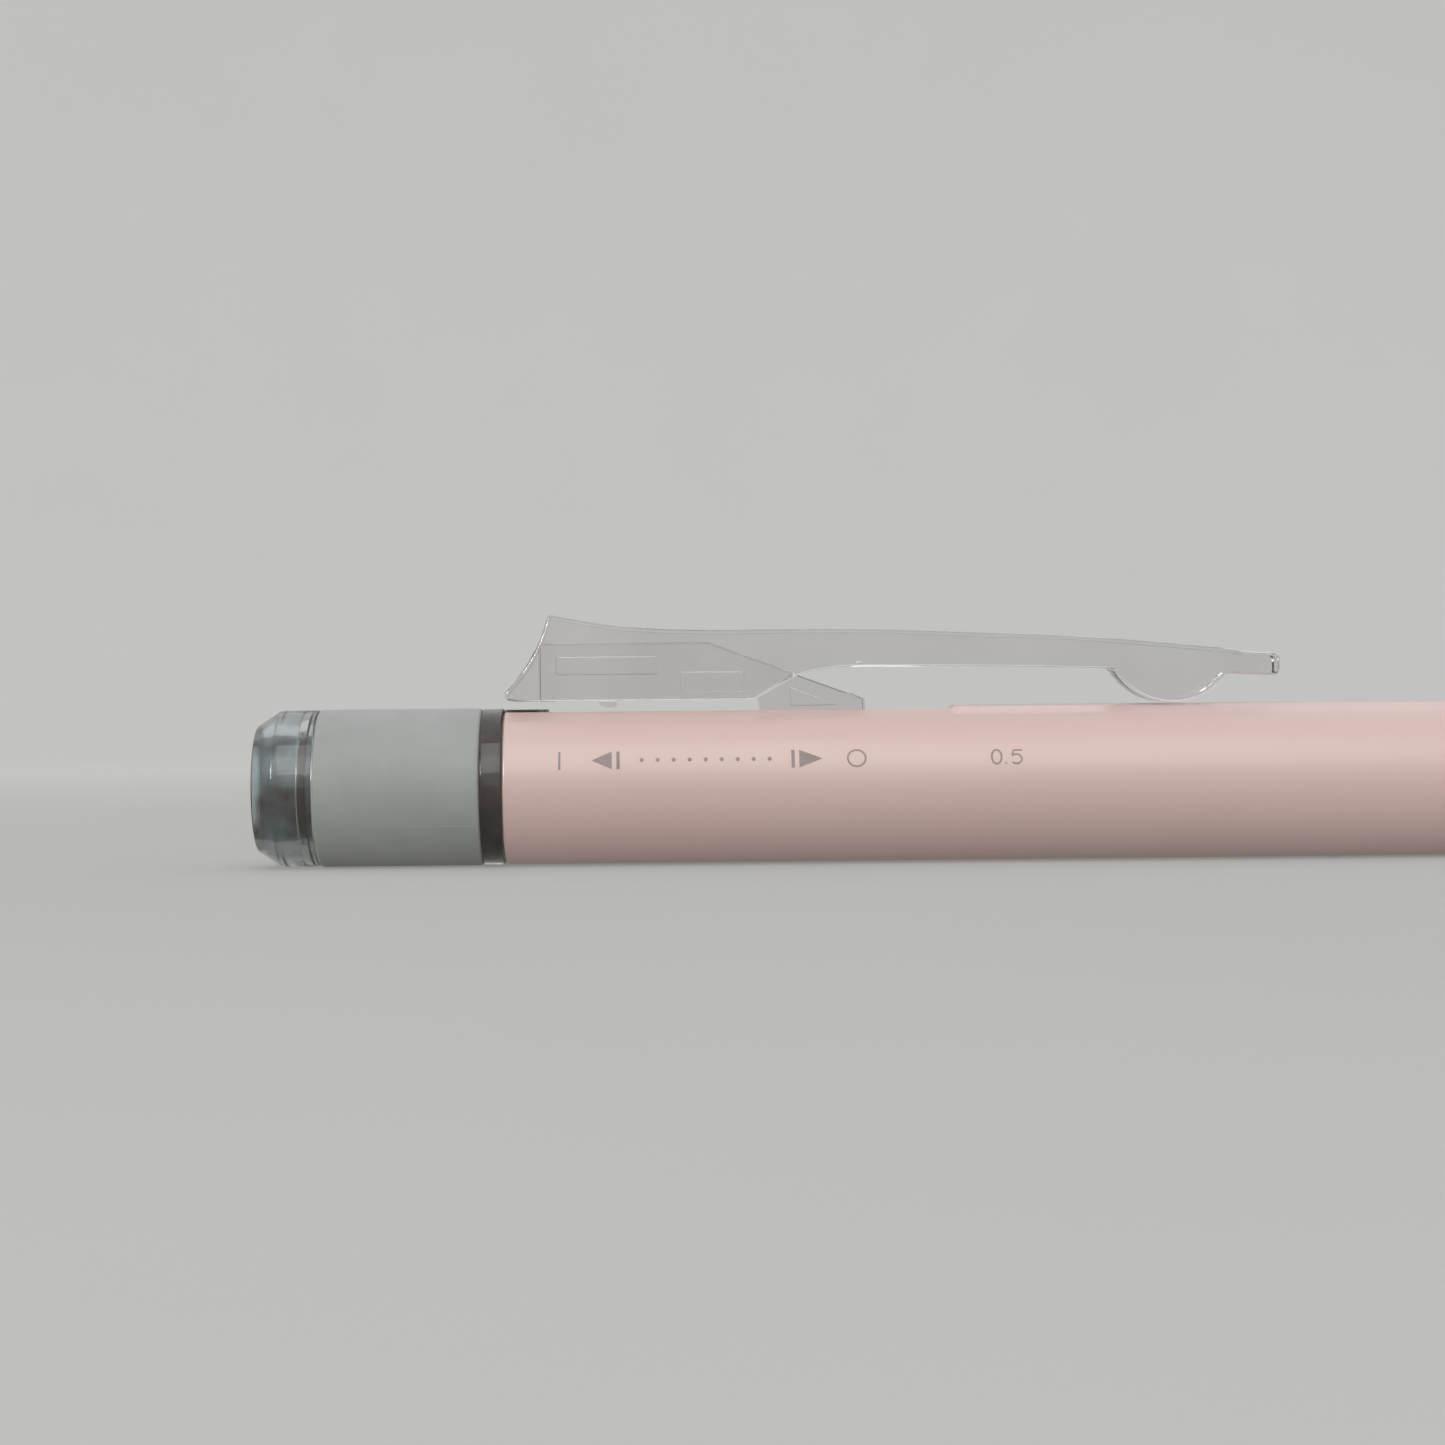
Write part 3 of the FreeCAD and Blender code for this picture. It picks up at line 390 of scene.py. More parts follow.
# %% [markdown]
# ## The tail end: knob, sleeve, ring and tube
# These four are bodies of revolution, so each is a profile carried round the axis. The knob is one clear
# moulding: a chamfered flange that shows, and a hub that the sleeve hides. A relief inside the flange
# leaves two rings that the clear plastic magnifies. The tube inside it is open at the tail.
# %% Knob and ring
TUBE_RADIUS, BORE_PLAY = span("guide_tube")[2], 0.05
BORE = TUBE_RADIUS + BORE_PLAY
FLANGE_END = SLEEVE_START - 0.04
HUB_RADIUS = SLEEVE_RADIUS - 0.77
knob_profile = rounded(
    [(0, BORE + 0.25), (0, 4.32), (1.5, 5.3), (1.9, BARREL_RADIUS), (FLANGE_END, BARREL_RADIUS),
     (FLANGE_END, HUB_RADIUS), (SLEEVE_END, HUB_RADIUS), (SLEEVE_END, BORE), (3.6, BORE),
     (3.6, BORE + 0.45), (3.0, BORE + 0.45), (3.0, BORE), (0.25, BORE)],
    [0.06, 0.14, 0.25, 0.1, 0.08, 0.05, 0.08, 0.05, 0.03, 0.06, 0.06, 0.03, 0.08],
)
knob = piece("tail_knob", turned("tail_knob", knob_profile, 180), "twist_knob", "clear_knob", ["twist_knob"])
centre = face_centres(knob.data)
inner_faces(knob, (np.hypot(centre[:, 1], centre[:, 2]) < BORE + 0.01) & (centre[:, 0] > 0.3))
ring_profile = rounded(
    [(RING_START, BORE), (RING_END, BORE), (RING_END, BARREL_RADIUS), (RING_START, BARREL_RADIUS)],
    [0.05, 0.05, 0.16, 0.16],
)
ring = piece("tail_ring", turned("tail_ring", ring_profile, 180), "twist_knob", "clear_ring", ["joint_ring"])
centre = face_centres(ring.data)
inner_faces(ring, np.hypot(centre[:, 1], centre[:, 2]) < BORE + 0.01)

# %% [markdown]
# The sleeve is a moulded tube with softly rounded ends. Its two-part tool leaves a parting line, a hair
# of raised plastic along the front, and a faint swell where the sleeve is stretched over the hub. So its
# radius is a function of both station and angle: the plain radius, plus a narrow bell across the line.
# %% Sleeve
PARTING_ANGLE, PARTING_HEIGHT, PARTING_WIDTH = math.radians(241.5), 0.02, 0.035
sleeve_profile = rounded(
    [(SLEEVE_START, SLEEVE_RADIUS - 0.75), (SLEEVE_END, SLEEVE_RADIUS - 0.75),
     (SLEEVE_END, SLEEVE_RADIUS), (SLEEVE_START, SLEEVE_RADIUS)],
    [0.08, 0.08, 0.26, 0.26], steps=7,
)
long_side = np.stack([np.linspace(SLEEVE_END - 0.3, SLEEVE_START + 0.3, 45), np.full(45, SLEEVE_RADIUS)], -1)
sleeve_profile = np.concatenate([sleeve_profile[:24], long_side, sleeve_profile[24:]])
even = np.linspace(0, 2 * math.pi, 180, endpoint=False)
fine = PARTING_ANGLE + np.linspace(-0.03, 0.03, 13)
angle = np.unique(np.concatenate([even, fine]))[None, :]
station, radius = sleeve_profile.T[:, :, None]
outside = np.clip((radius - SLEEVE_RADIUS + 0.05) / 0.05, 0, 1)
fade = np.clip((station - (SLEEVE_START + 5.0)) / 1.5, 0, 1)
bell = np.exp(-(((angle - PARTING_ANGLE) * SLEEVE_RADIUS / PARTING_WIDTH) ** 2))
radius = radius - 0.02 * outside + (PARTING_HEIGHT * bell * fade) * outside
sleeve_points = place(station, radius * np.sin(angle), radius * np.cos(angle))
sleeve_faces = quads(len(sleeve_profile), angle.size, True, True).tolist()
piece("grip_sleeve", surface_mesh("grip_sleeve", sleeve_points, sleeve_faces), "twist_knob",
      "grey_sleeve", ["knob_sleeve"])

# %% [markdown]
# The dark tube carries the eraser. Two long slots in it let the holder's pegs reach the spiral grooves.
# It could be cut with a box, but a lathed surface that leaves out the cells between two angles gives
# cleaner edges, so one function serves both this tube and the barrel: rows run round the tube's wall,
# outside from rear to front and back along the inside, and the cells of each opening are left out and
# given walls.
# %% A tube with open slots


def slotted_tube(name, outer, inner, slot, columns, lip=0.0):
    """A tube of outer and inner (station, radius) rows that share their stations within the slot. slot is
    (first, last, half width, corner radius, angles). Columns keep a fixed distance across the slot: its
    edge lies at the angle whose sine is half width over radius. Near the edge the radius drops along a
    quarter circle of radius lip."""
    first, last, half_width, corner, centres = slot
    rows = np.concatenate([outer, inner[::-1]])
    station, radius = rows[:, :1], rows[:, 1:]
    past = np.clip(station - (last - corner), 0, corner)
    half = half_width - corner + np.sqrt(np.maximum(corner**2 - past**2, 0))
    edge = np.arcsin(np.minimum(half / radius, 0.95))
    across = np.linspace(-1, 1, 9)[None, :]
    near = np.array([0.25, 0.5, 0.75, 1.0, 1.6]) * max(lip, 0.05) / outer[0, 1]
    room = math.pi / len(centres) - edge
    beyond = np.concatenate([near, np.linspace(2.6 * near[-1], 1.0, columns // len(centres) // 2)])
    beyond = np.minimum(beyond, 1.0)[None, :]
    right_side = edge + np.where(beyond < near[-1] + 1e-9, beyond, beyond * room)[:, :-1]
    left_side = -np.flip(edge + np.where(beyond < near[-1] + 1e-9, beyond, beyond * room), 1)
    one = np.concatenate([left_side, across * edge, right_side], axis=1)
    angle = np.concatenate([one + centre for centre in centres], axis=1)
    local = np.concatenate([one] * len(centres), axis=1)
    gap = np.maximum(np.abs(local) - edge, 0) * radius
    ahead = np.maximum(station - last, 0)
    behind = np.maximum(first - station, 0)
    away = np.sqrt(gap**2 + ahead**2 + behind**2)
    outside = (np.arange(len(rows)) < len(outer))[:, None]
    drop = lip - np.sqrt(np.maximum(lip**2 - np.maximum(lip - away, 0) ** 2, 0))
    shown = radius - np.where(outside, drop, 0)
    points = place(station, shown * np.sin(angle), shown * np.cos(angle))
    count = angle.shape[1]
    cells = quads(len(rows), count, True, True)
    row, column = cells[:, 0] // count, cells[:, 0] % count
    inside_slot = (rows[:, 0] > first - 1e-6) & (rows[:, 0] < last + 1e-6)
    width = one.shape[1]
    start = left_side.shape[1]
    in_column = (column % width >= start) & (column % width < start + 8)
    in_row = inside_slot[row] & inside_slot[(row + 1) % len(rows)]
    faces = [cells[~(in_column & in_row)]]
    top = np.flatnonzero(inside_slot[: len(outer)])
    under = len(rows) - 1 - top
    for k in range(len(centres)):
        for side in (start, start + 8):
            c = k * width + side
            faces.append(np.stack([top[:-1] * count + c, top[1:] * count + c,
                                   under[1:] * count + c, under[:-1] * count + c], -1))
        c = k * width + start + np.arange(8)
        for t, b in ((top[-1], under[-1]),) + (((top[0], under[0]),) if first > rows[0, 0] + 0.01 else ()):
            faces.append(np.stack([t * count + c, t * count + c + 1, b * count + c + 1, b * count + c], -1))
    return surface_mesh(name, points, np.concatenate(faces).tolist())


def rows_of(profile, stations):
    """Rows (station, radius) of a profile given by corner points, read off at the stations."""
    known = np.asarray(profile, float)
    return np.stack([stations, np.interp(stations, known[:, 0], known[:, 1])], axis=-1)


TUBE_START, TUBE_END, _ = span("guide_tube")
TUBE_BORE, PEG_ROOM, PEG_STATION, TRAVEL = TUBE_RADIUS - 0.4, 0.68, 28.5, 10.0
first, last = PEG_STATION - TRAVEL - PEG_ROOM, PEG_STATION + PEG_ROOM
stations = np.unique(np.concatenate([
    TUBE_START + np.array([0, 0.03, 0.08, 0.15]), np.linspace(TUBE_START + 1, first, 12),
    np.linspace(first, last, 12), np.linspace(last, TUBE_END, 4)]))
outer = rows_of([(TUBE_START, TUBE_RADIUS - 0.15), (TUBE_START + 0.03, TUBE_RADIUS - 0.08),
                 (TUBE_START + 0.08, TUBE_RADIUS - 0.03), (TUBE_START + 0.15, TUBE_RADIUS),
                 (TUBE_END, TUBE_RADIUS)], stations)
inner = rows_of([(TUBE_START, TUBE_BORE), (TUBE_END, TUBE_BORE)], stations)
tube_slot = (first, last, PEG_ROOM, 0.15, (math.pi / 2, 3 * math.pi / 2))
piece("smoked_tube", slotted_tube("smoked_tube", outer, inner, tube_slot, 120), "twist_knob",
      "smoke_tube", ["guide_tube"])

# %% [markdown]
# ## The barrel
# The barrel is one glossy moulding, 114 mm long. Its slot is open at the rear and rounded in front, a
# single ring ends the plain band, and twelve soft rings give the fingers hold before the nose curves in
# to the cone. The ring grooves are half a cosine deep, so their lips are soft, and the nose follows a
# power of the way along it. Rows stand close only where the radius changes.
# %% Barrel
SLOT_END, SLOT_HALF, SLOT_CORNER, LIP = 47.53, 1.6, 0.5, 0.12
BORE_RADIUS, NOSE_LENGTH, NOSE_INSET = 4.3, 12.0, 0.62
GROOVES = BARREL_END - NOSE_LENGTH - 0.9 - 1.8 * np.arange(12)
GROOVES = np.append(GROOVES, GROOVES[-1] - 14.3)
GROOVE_HALF, GROOVE_DEPTH = 0.46, 0.22


def barrel_radius(station):
    """The plain radius, less half a cosine in each groove and less a power of the way along the nose."""
    off = np.abs(station[:, None] - GROOVES[None, :]) / GROOVE_HALF
    dips = np.where(off < 1, 0.5 + 0.5 * np.cos(math.pi * off), 0).sum(1) * GROOVE_DEPTH
    along = np.clip((station - (BARREL_END - NOSE_LENGTH)) / NOSE_LENGTH, 0, 1)
    rim = np.clip(0.2 - (station - BARREL_START), 0, 0.2)
    end = np.clip(0.1 - (BARREL_END - station), 0, 0.1)
    rounding = 0.2 - np.sqrt(0.04 - rim**2) + 0.1 - np.sqrt(0.01 - end**2)
    return BARREL_RADIUS - dips - NOSE_INSET * along**1.84 - rounding


rim = BARREL_START + np.array([0, 0.01, 0.03, 0.06, 0.1, 0.15, 0.2])
slot_rows = np.concatenate([rim, np.linspace(BARREL_START + 0.5, SLOT_END - SLOT_CORNER, 22),
                            SLOT_END - SLOT_CORNER * (1 - np.sin(np.linspace(0, math.pi / 2, 9)))])
front_rows = np.concatenate([
    SLOT_END + LIP * np.array([0.25, 0.5, 0.75, 1.0, 1.6]), np.linspace(48.5, BARREL_END - NOSE_LENGTH, 40),
    (GROOVES[:, None] + np.linspace(-GROOVE_HALF, GROOVE_HALF, 13)).ravel(),
    np.linspace(BARREL_END - NOSE_LENGTH, BARREL_END - 0.1, 22),
    BARREL_END - 0.1 + np.array([0.04, 0.07, 0.1])])
slot_rows, front_rows = np.unique(slot_rows.round(5)), np.unique(front_rows.round(5))
slot_rows[-1] = SLOT_END
outer_stations = np.concatenate([slot_rows, front_rows])
outer = np.stack([outer_stations, barrel_radius(outer_stations)], axis=-1)
wall = [(48.5, BORE_RADIUS), (118.5, BORE_RADIUS), (118.5, 3.05), (120.5, 3.05), (120.5, 3.95),
        (BARREL_END, 3.95)]
inner = np.concatenate([np.stack([slot_rows, np.full(slot_rows.size, BORE_RADIUS)], -1), wall])
barrel_slot = (BARREL_START, SLOT_END, SLOT_HALF, SLOT_CORNER, (0.0,))
piece("barrel_shell", slotted_tube("barrel_shell", outer, inner, barrel_slot, 190, LIP), "barrel",
      "pink_barrel", ["barrel"])

# %% [markdown]
# ## The cone
# The nozzle is turned from brass and plated, with a small lip where it meets the barrel and a nose that
# guides the lead pipe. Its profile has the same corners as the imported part, each with a tool's radius.
# %% Cone
CONE_START, CONE_END = BARREL_END + 0.04, 143.0
SPIGOT_START, _, _ = span("tip_cone")
cone_profile = rounded(
    [(SPIGOT_START, 3.9), (CONE_START, 3.9), (CONE_START, 4.68), (CONE_START + 0.6, 4.73),
     (CONE_END - 2.1, 1.95), (CONE_END - 1.9, 1.6), (CONE_END - 0.15, 1.15), (CONE_END, 1.0),
     (CONE_END, 0.49), (141.0, 0.49), (141.0, 1.05), (138.7, 1.05), (138.7, 1.56), (134.42, 1.56),
     (134.42, 2.26), (131.2, 2.26), (131.2, 2.46), (SPIGOT_START, 2.46)],
    [0.1, 0.02, 0.02, 0.2, 0.08, 0.08, 0.05, 0.05] + [0.02] * 10,
)
piece("nozzle_cone", turned("nozzle_cone", cone_profile, 160), "barrel", "nickel_cone", ["tip_cone"])

# %% [markdown]
# ## Curves for the clip
# The clip is a plate on edge. Its side view mixes arcs and easy curves, so two helpers draw these: an arc
# through three points, and a curve that passes through every point given. The whole outline is then
# spaced evenly and softened, because a mould has no knife edges. Softening is a blur along the outline:
# written as complex numbers, its fast waves are damped by a bell curve of the wave number.
# %% Curves and outlines


def arc_through(a, b, c, count=24):
    """Points on the circle through a, b and c. The centre solves two equations that say it is as far
    from a as from b, and from b as from c."""
    a, b, c = (np.asarray(point, float) for point in (a, b, c))
    centre = np.linalg.solve(2 * np.array([b - a, c - b]), [b @ b - a @ a, c @ c - b @ b])
    angle = np.unwrap([math.atan2(*(point - centre)[::-1]) for point in (a, b, c)])
    t = np.linspace(angle[0], angle[2], count, endpoint=False)
    return centre + np.linalg.norm(a - centre) * np.stack([np.cos(t), np.sin(t)], -1)


def curve_through(points, steps=10):
    """A cubic through every point, whose direction at each is that from its neighbour before to the one
    after. Each stretch weighs its two ends and two directions by the cubic's four blending curves."""
    p = np.asarray(points, float)
    slope = np.gradient(p, axis=0)
    t = np.linspace(0, 1, steps, endpoint=False)[None, :, None]
    p0, p1, m0, m1 = p[:-1, None], p[1:, None], slope[:-1, None], slope[1:, None]
    bend = (2 * t**3 - 3 * t**2 + 1) * p0 + (t**3 - 2 * t**2 + t) * m0
    return (bend + (3 * t**2 - 2 * t**3) * p1 + (t**3 - t**2) * m1).reshape(-1, 2)


def softened(outline, spacing=0.14, blur=0.2):
    """The closed outline at even steps of about spacing mm, its corners rounded by a blur of blur mm."""
    closed = np.concatenate([outline, outline[:1]])
    along = np.concatenate([[0], np.cumsum(np.linalg.norm(np.diff(closed, axis=0), axis=1))])
    even = np.linspace(0, along[-1], int(along[-1] / spacing), endpoint=False)
    line = np.interp(even, along, closed[:, 0]) + 1j * np.interp(even, along, closed[:, 1])
    wave = np.fft.fftfreq(even.size, along[-1] / even.size)
    line = np.fft.ifft(np.fft.fft(line) * np.exp(-2 * (math.pi * wave * blur) ** 2))
    return np.stack([line.real, line.imag], -1)


def inset(outline, depth):
    """The outline moved inwards by depth, square to itself. At a corner tighter than depth it would fold
    over itself: such points come nearer to the outline than depth, so they are put on the straight line
    between their sound neighbours."""
    ahead, following = np.roll(outline, -1, 0) - np.roll(outline, 1, 0), np.roll(outline, -1, 0)
    turn = np.sign((outline[:, 0] * following[:, 1] - following[:, 0] * outline[:, 1]).sum())
    inward = np.stack([-ahead[:, 1], ahead[:, 0]], -1) * turn
    moved = outline + depth * inward / np.linalg.norm(inward, axis=1, keepdims=True)
    nearest = np.linalg.norm(moved[:, None] - outline[None], axis=-1).min(1)
    sound, number, count = nearest >= 0.995 * depth, np.arange(len(outline)), len(outline)
    return np.stack([np.interp(number, number[sound], line[sound], period=count) for line in moved.T], -1)


def plate(outline, half_width, edge, steps=4):
    """A plate with rounded edges: the outline is carried across, and near each side it steps inwards by
    edge times one less the cosine while it moves sideways by edge times the sine. half_width may depend
    on the station. Both ends are closed by the whole outline as one face."""
    t = np.linspace(0, math.pi / 2, steps + 1)
    flat = np.stack([inset(outline, depth) for depth in edge * (1 - np.cos(t))])
    half = half_width(flat[..., 0]) if callable(half_width) else np.full(flat.shape[:2], half_width)
    across = half - edge + (edge * np.sin(t))[:, None]
    flat, across = np.concatenate([flat[::-1], flat]), np.concatenate([-across[::-1], across])
    points = place(BARREL_START + flat[..., 0], across, BARREL_RADIUS + flat[..., 1])
    rows, columns = across.shape
    caps = [list(range(columns)), list(range((rows - 1) * columns, rows * columns))]
    return points.reshape(-1, 3), quads(rows, columns, False, True).tolist() + caps


def carve(name, base, adding=(), taking=(), split=None):
    """A mesh joined with others and cut by others, one after another, with exact booleans. Where the
    blank's sides bend, at the station split, they are parted first, so that every face stays flat."""
    blank = surface_mesh(name + "_blank", *base)
    if split:
        shape = bmesh.new()
        shape.from_mesh(blank)
        bmesh.ops.bisect_plane(shape, geom=shape.verts[:] + shape.edges[:] + shape.faces[:], dist=1e-7,
                               plane_co=place(BARREL_START + split, 0, 0), plane_no=(1, 0, 0))
        shape.to_mesh(blank)
        shape.free()
    made = bpy.data.objects.new(name + "_blank", blank)
    tools = [(shape, "UNION") for shape in adding] + [(shape, "DIFFERENCE") for shape in taking]
    bpy.context.scene.collection.objects.link(made)
    helpers = [made]
    for number, (shape, operation) in enumerate(tools):
        tool = bpy.data.objects.new(f"{name}_tool_{number}", surface_mesh(f"{name}_tool_{number}", *shape))
        bpy.context.scene.collection.objects.link(tool)
        step = made.modifiers.new(operation, "BOOLEAN")
        step.operation, step.solver, step.object = operation, "EXACT", tool
        helpers.append(tool)
    view = bpy.context.evaluated_depsgraph_get()
    mesh = bpy.data.meshes.new_from_object(made.evaluated_get(view))
    for helper in helpers:
        bpy.data.objects.remove(helper)
    mesh.name = name
    return mesh


print("an arc has", len(arc_through((0, 0), (1, 1), (2, 0))), "points")

# %% [markdown]
# ## The clip
# Stations count from the barrel's rear edge here, and heights from its surface. The thumb face leans
# back to a crest, the back falls gently to a tab, a round bump under it presses on cloth, and an arch
# springs from the root. The sides narrow from 4.6 to 3.8 mm towards the tip. Underneath, a channel takes
# the slider and a groove lightens the arm.
# %% Clip
LENGTH, GAP, ROOT, BUMP_GAP = 53.1, 0.45, 17.0, 0.06
crest, step = (3.0, 6.33), (LENGTH - 2.92, 3.61)
HEEL_ROUND = 0.45
heel_turn = np.radians(np.linspace(270, 148, 14))
heel = HEEL_ROUND * np.stack([1 + np.cos(heel_turn), GAP / HEEL_ROUND + 1 + np.sin(heel_turn)], -1)
bump_front, bump_rear, arch = (LENGTH - 3.75, 1.98), (LENGTH - 11.3, 2.39), (24.9, 2.71)
back = [crest, (5.5, 5.87), (8.5, 5.45), (13.6, 5.21), (23.5, 5.22), (31.9, 4.93), (40.3, 4.51), step]
tab = [step, (LENGTH - 2.76, 3.47), (LENGTH - 0.2, 3.34), (LENGTH, 3.1), (LENGTH, 1.95), (LENGTH - 0.4, 1.82)]
root = [arch, (23.1, 2.66), (21.6, 2.48), (20.2, 2.16), (18.5, 1.42), (ROOT, GAP)]
clip_side = softened(np.concatenate([
    arc_through(heel[-1], (1.73, 3.22), crest), curve_through(back), np.array(tab),
    arc_through(bump_front, (LENGTH - 7.5, BUMP_GAP), bump_rear, 60),
    curve_through([bump_rear, (33.35, 2.6), arch]), curve_through(root), np.array([(ROOT, GAP)]), heel]))


def clip_half_width(station):
    """2.3 mm up to 18 mm, then falling evenly to 1.9 mm at the tip."""
    return 2.3 - 0.4 * np.clip((station - 18) / (LENGTH - 18), 0, 1)


SLIDER_HALF, PLAY, SLIDER_TOP, SLIDER_REAR, SLOPE_START, FOOT_FRONT = 1.48, 0.04, 4.36, 2.4, 13.9, 24.66
channel_side = [(SLIDER_REAR - PLAY, GAP - 0.2), (SLIDER_REAR - PLAY, SLIDER_TOP + PLAY),
                (SLOPE_START + PLAY / 2, SLIDER_TOP + PLAY), (FOOT_FRONT, GAP + 0.04),
                (FOOT_FRONT, GAP - 0.2)]
groove_side = [(23.3, 0.8), (23.9, 3.02), (36.0, 2.4), (36.1, 0.8)]
clip_mesh = carve(
    "pocket_clip", plate(clip_side, clip_half_width, 0.26), split=18.0,
    taking=[plate(rounded(channel_side, 0.04), SLIDER_HALF + PLAY, 0.01),
            plate(rounded(groove_side, 0.2), 1.3, 0.1)],
)
clip = piece("pocket_clip", clip_mesh, "clip_unit", "clear_clip", ["clip"])
along, across, up = (face_centres(clip_mesh) - [BARREL_START, 0, BARREL_RADIUS]).T
inner_faces(clip, (np.abs(across) < SLIDER_HALF + PLAY + 0.01) & (along > SLIDER_REAR - PLAY - 0.002)
            & (along < FOOT_FRONT + 0.01) & (up < np.interp(along, *np.transpose(channel_side[1:4])) + 0.01))

# %% [markdown]
# ## The slider
# The block in the clip's channel carries the lock. It is clear too, and shows through the clip by its
# edges: a window pressed into each side, a step in front of it, a wedge in the foot, and a round pip
# under it that clicks along the barrel. The foot runs in the barrel's slot and a leg hooks what lies
# below. Only where it stands free of the clip, under the arch's slope, does it need the clip's grey tint,
# so a dot product measures how far a point lies under that slope, and mixes the two tints there.
# %% Slider
LEG_START, LEG_END, ARCH_SLOPE, SINK = 19.46, 22.96, 0.55, 0.45
foot = [(17.26, 0.85), (FOOT_FRONT - 1.0, 0.85), (FOOT_FRONT - 0.1, 0.45), (FOOT_FRONT, -0.85),
        (17.46, -0.85)]
leg = [(LEG_START, 0.0), (LEG_END, 0.0), (LEG_END, -1.95), (LEG_START, -1.95)]
block = [(SLIDER_REAR, GAP + 0.03), (SLIDER_REAR, SLIDER_TOP), (SLOPE_START, SLIDER_TOP),
         (FOOT_FRONT - 0.1, GAP), (FOOT_FRONT - 2.0, GAP + 0.03)]
pip_turn = np.linspace(0, 2 * math.pi, 40, endpoint=False)
pip = np.stack([7.1 + 0.69 * np.cos(pip_turn), 0.6 + 0.69 * np.sin(pip_turn)], -1)
window = [(3.5, 2.25), (10.4, 2.25), (10.4, 3.5), (3.5, 3.5)]
shelf = [(12.0, 1.0), (16.4, 1.0), (16.4, 2.4), (12.0, 2.4)]
wedge = [(LEG_START + 0.1, 0.0), (LEG_START + 3.5, 0.05), (LEG_START + 0.1, 1.3)]


def side_cutter(outline, side):
    """A cutter that goes SINK mm into one side of the slider."""
    points, faces = plate(rounded(outline, 0.07), SINK, 0.05)
    return points + np.array([0, side * SLIDER_HALF * MM, 0]), faces


slider_mesh = carve(
    "lock_slider", plate(rounded(block, 0.1), SLIDER_HALF, 0.06),
    adding=[plate(rounded(foot, 0.1), SLIDER_HALF - 0.005, 0.06), plate(rounded(leg, 0.1), 1.25, 0.08),
            plate(pip, SLIDER_HALF - 0.01, 0.1)],
    taking=[side_cutter(outline, side) for outline in (window, shelf, wedge) for side in (-1, 1)],
)
tree = MATERIALS["clear_slider"].node_tree
old_tint = tree.nodes["Principled BSDF"].inputs["Base Color"].links[0].from_socket
root_x, _, root_z = place(BARREL_START + ROOT, 0, BARREL_RADIUS + GAP)
under = add(tree, "VectorMath", {0: add(tree, "TexCoord").outputs["Object"], 1: (ARCH_SLOPE, 0, -1)},
            operation="DOT_PRODUCT")
free = add(tree, "MapRange", {"Value": under.outputs["Value"], "From Min": ARCH_SLOPE * root_x - root_z,
                              "From Max": ARCH_SLOPE * root_x - root_z + 0.1 * MM})
both = add(tree, "Mix", {0: free.outputs["Result"], 6: old_tint, 7: linear("#E8E5E7")}, data_type="RGBA")
tree.links.new(both.outputs[2], tree.nodes["Principled BSDF"].inputs["Base Color"])
slider = piece("lock_slider", slider_mesh, "clip_unit", "clear_slider", ["clip_slider"])
centre = face_centres(slider_mesh)
inner_faces(slider, (centre[:, 2] - BARREL_RADIUS < GAP) & (centre[:, 0] - BARREL_START < ROOT))

# %% [markdown]
# ## The eraser's end
# The eraser shows in the open tail. A new one is a cylinder with a crisp but slightly crumbling edge;
# its neck is hidden in the holder.
# %% Eraser
ERASER_START, ERASER_END, ERASER_RADIUS = span("eraser")
eraser_side = rounded(
    [(ERASER_START, 0.002), (ERASER_START, ERASER_RADIUS), (ERASER_END - 3.0, ERASER_RADIUS),
     (ERASER_END - 3.0, ERASER_RADIUS - 0.35), (ERASER_END, ERASER_RADIUS - 0.35), (ERASER_END, 0.002)],
    [0.0005, 0.22, 0.05, 0.05, 0.05, 0.0005],
)
piece("eraser_stick", turned("eraser_stick", eraser_side, 96), "eraser_unit", "white_eraser", ["eraser"])

# %% [markdown]
# ## Printed marks
# The barrel is printed beside the clip, to show which way the clip locks and frees the lead. The marks
# here are plain signs: a stroke for on, a ring for off, an arrow and a bar at each end of a row of
# dots, and the lead's thickness as a number. Ink lies on the surface in a film, so each mark is a strip
# of cells wrapped round the barrel at its radius, with a real thickness.
# %% Printed marks
MARK_HEIGHT, MARK_LIFT, INK, INK_ROOT = 1.25, math.radians(19.6), 0.012, 0.03
moulded("printing_ink", ("#8D7F7C", "#9B8D89"), 1.0, (0.45, 0.6, 0.8), (0.05, 0.002), IOR=1.5)


def stroke(path, width):
    """A strip along a path: each point is moved half the width to either side, square to the path."""
    path = np.asarray(path, float)
    along = np.gradient(path, axis=0)
    side = np.stack([-along[:, 1], along[:, 0]], -1)
    side *= width / 2 / np.linalg.norm(side, axis=1, keepdims=True)
    return np.stack([path + side, path, path - side], axis=1)


def straight(a, b, count=9):
    """Evenly spaced points from a to b."""
    return np.linspace(a, b, count)


def ring_path(centre, across, high, start=0.0, end=2 * math.pi, count=40):
    """Points on an oval round its centre, from one angle to another."""
    t = np.linspace(start, end, count)
    return np.array(centre) + np.stack([across / 2 * np.cos(t), high / 2 * np.sin(t)], -1)


def wedge_sign(tip, base):
    """An arrow head as a grid: its height grows evenly from the tip to the base."""
    t = np.linspace(0, 1, 12)[:, None]
    u = np.linspace(-0.5, 0.5, 9)[None, :]
    return np.stack(np.broadcast_arrays(tip + (base - tip) * t, (0.04 + 0.96 * t) * u * MARK_HEIGHT), -1)


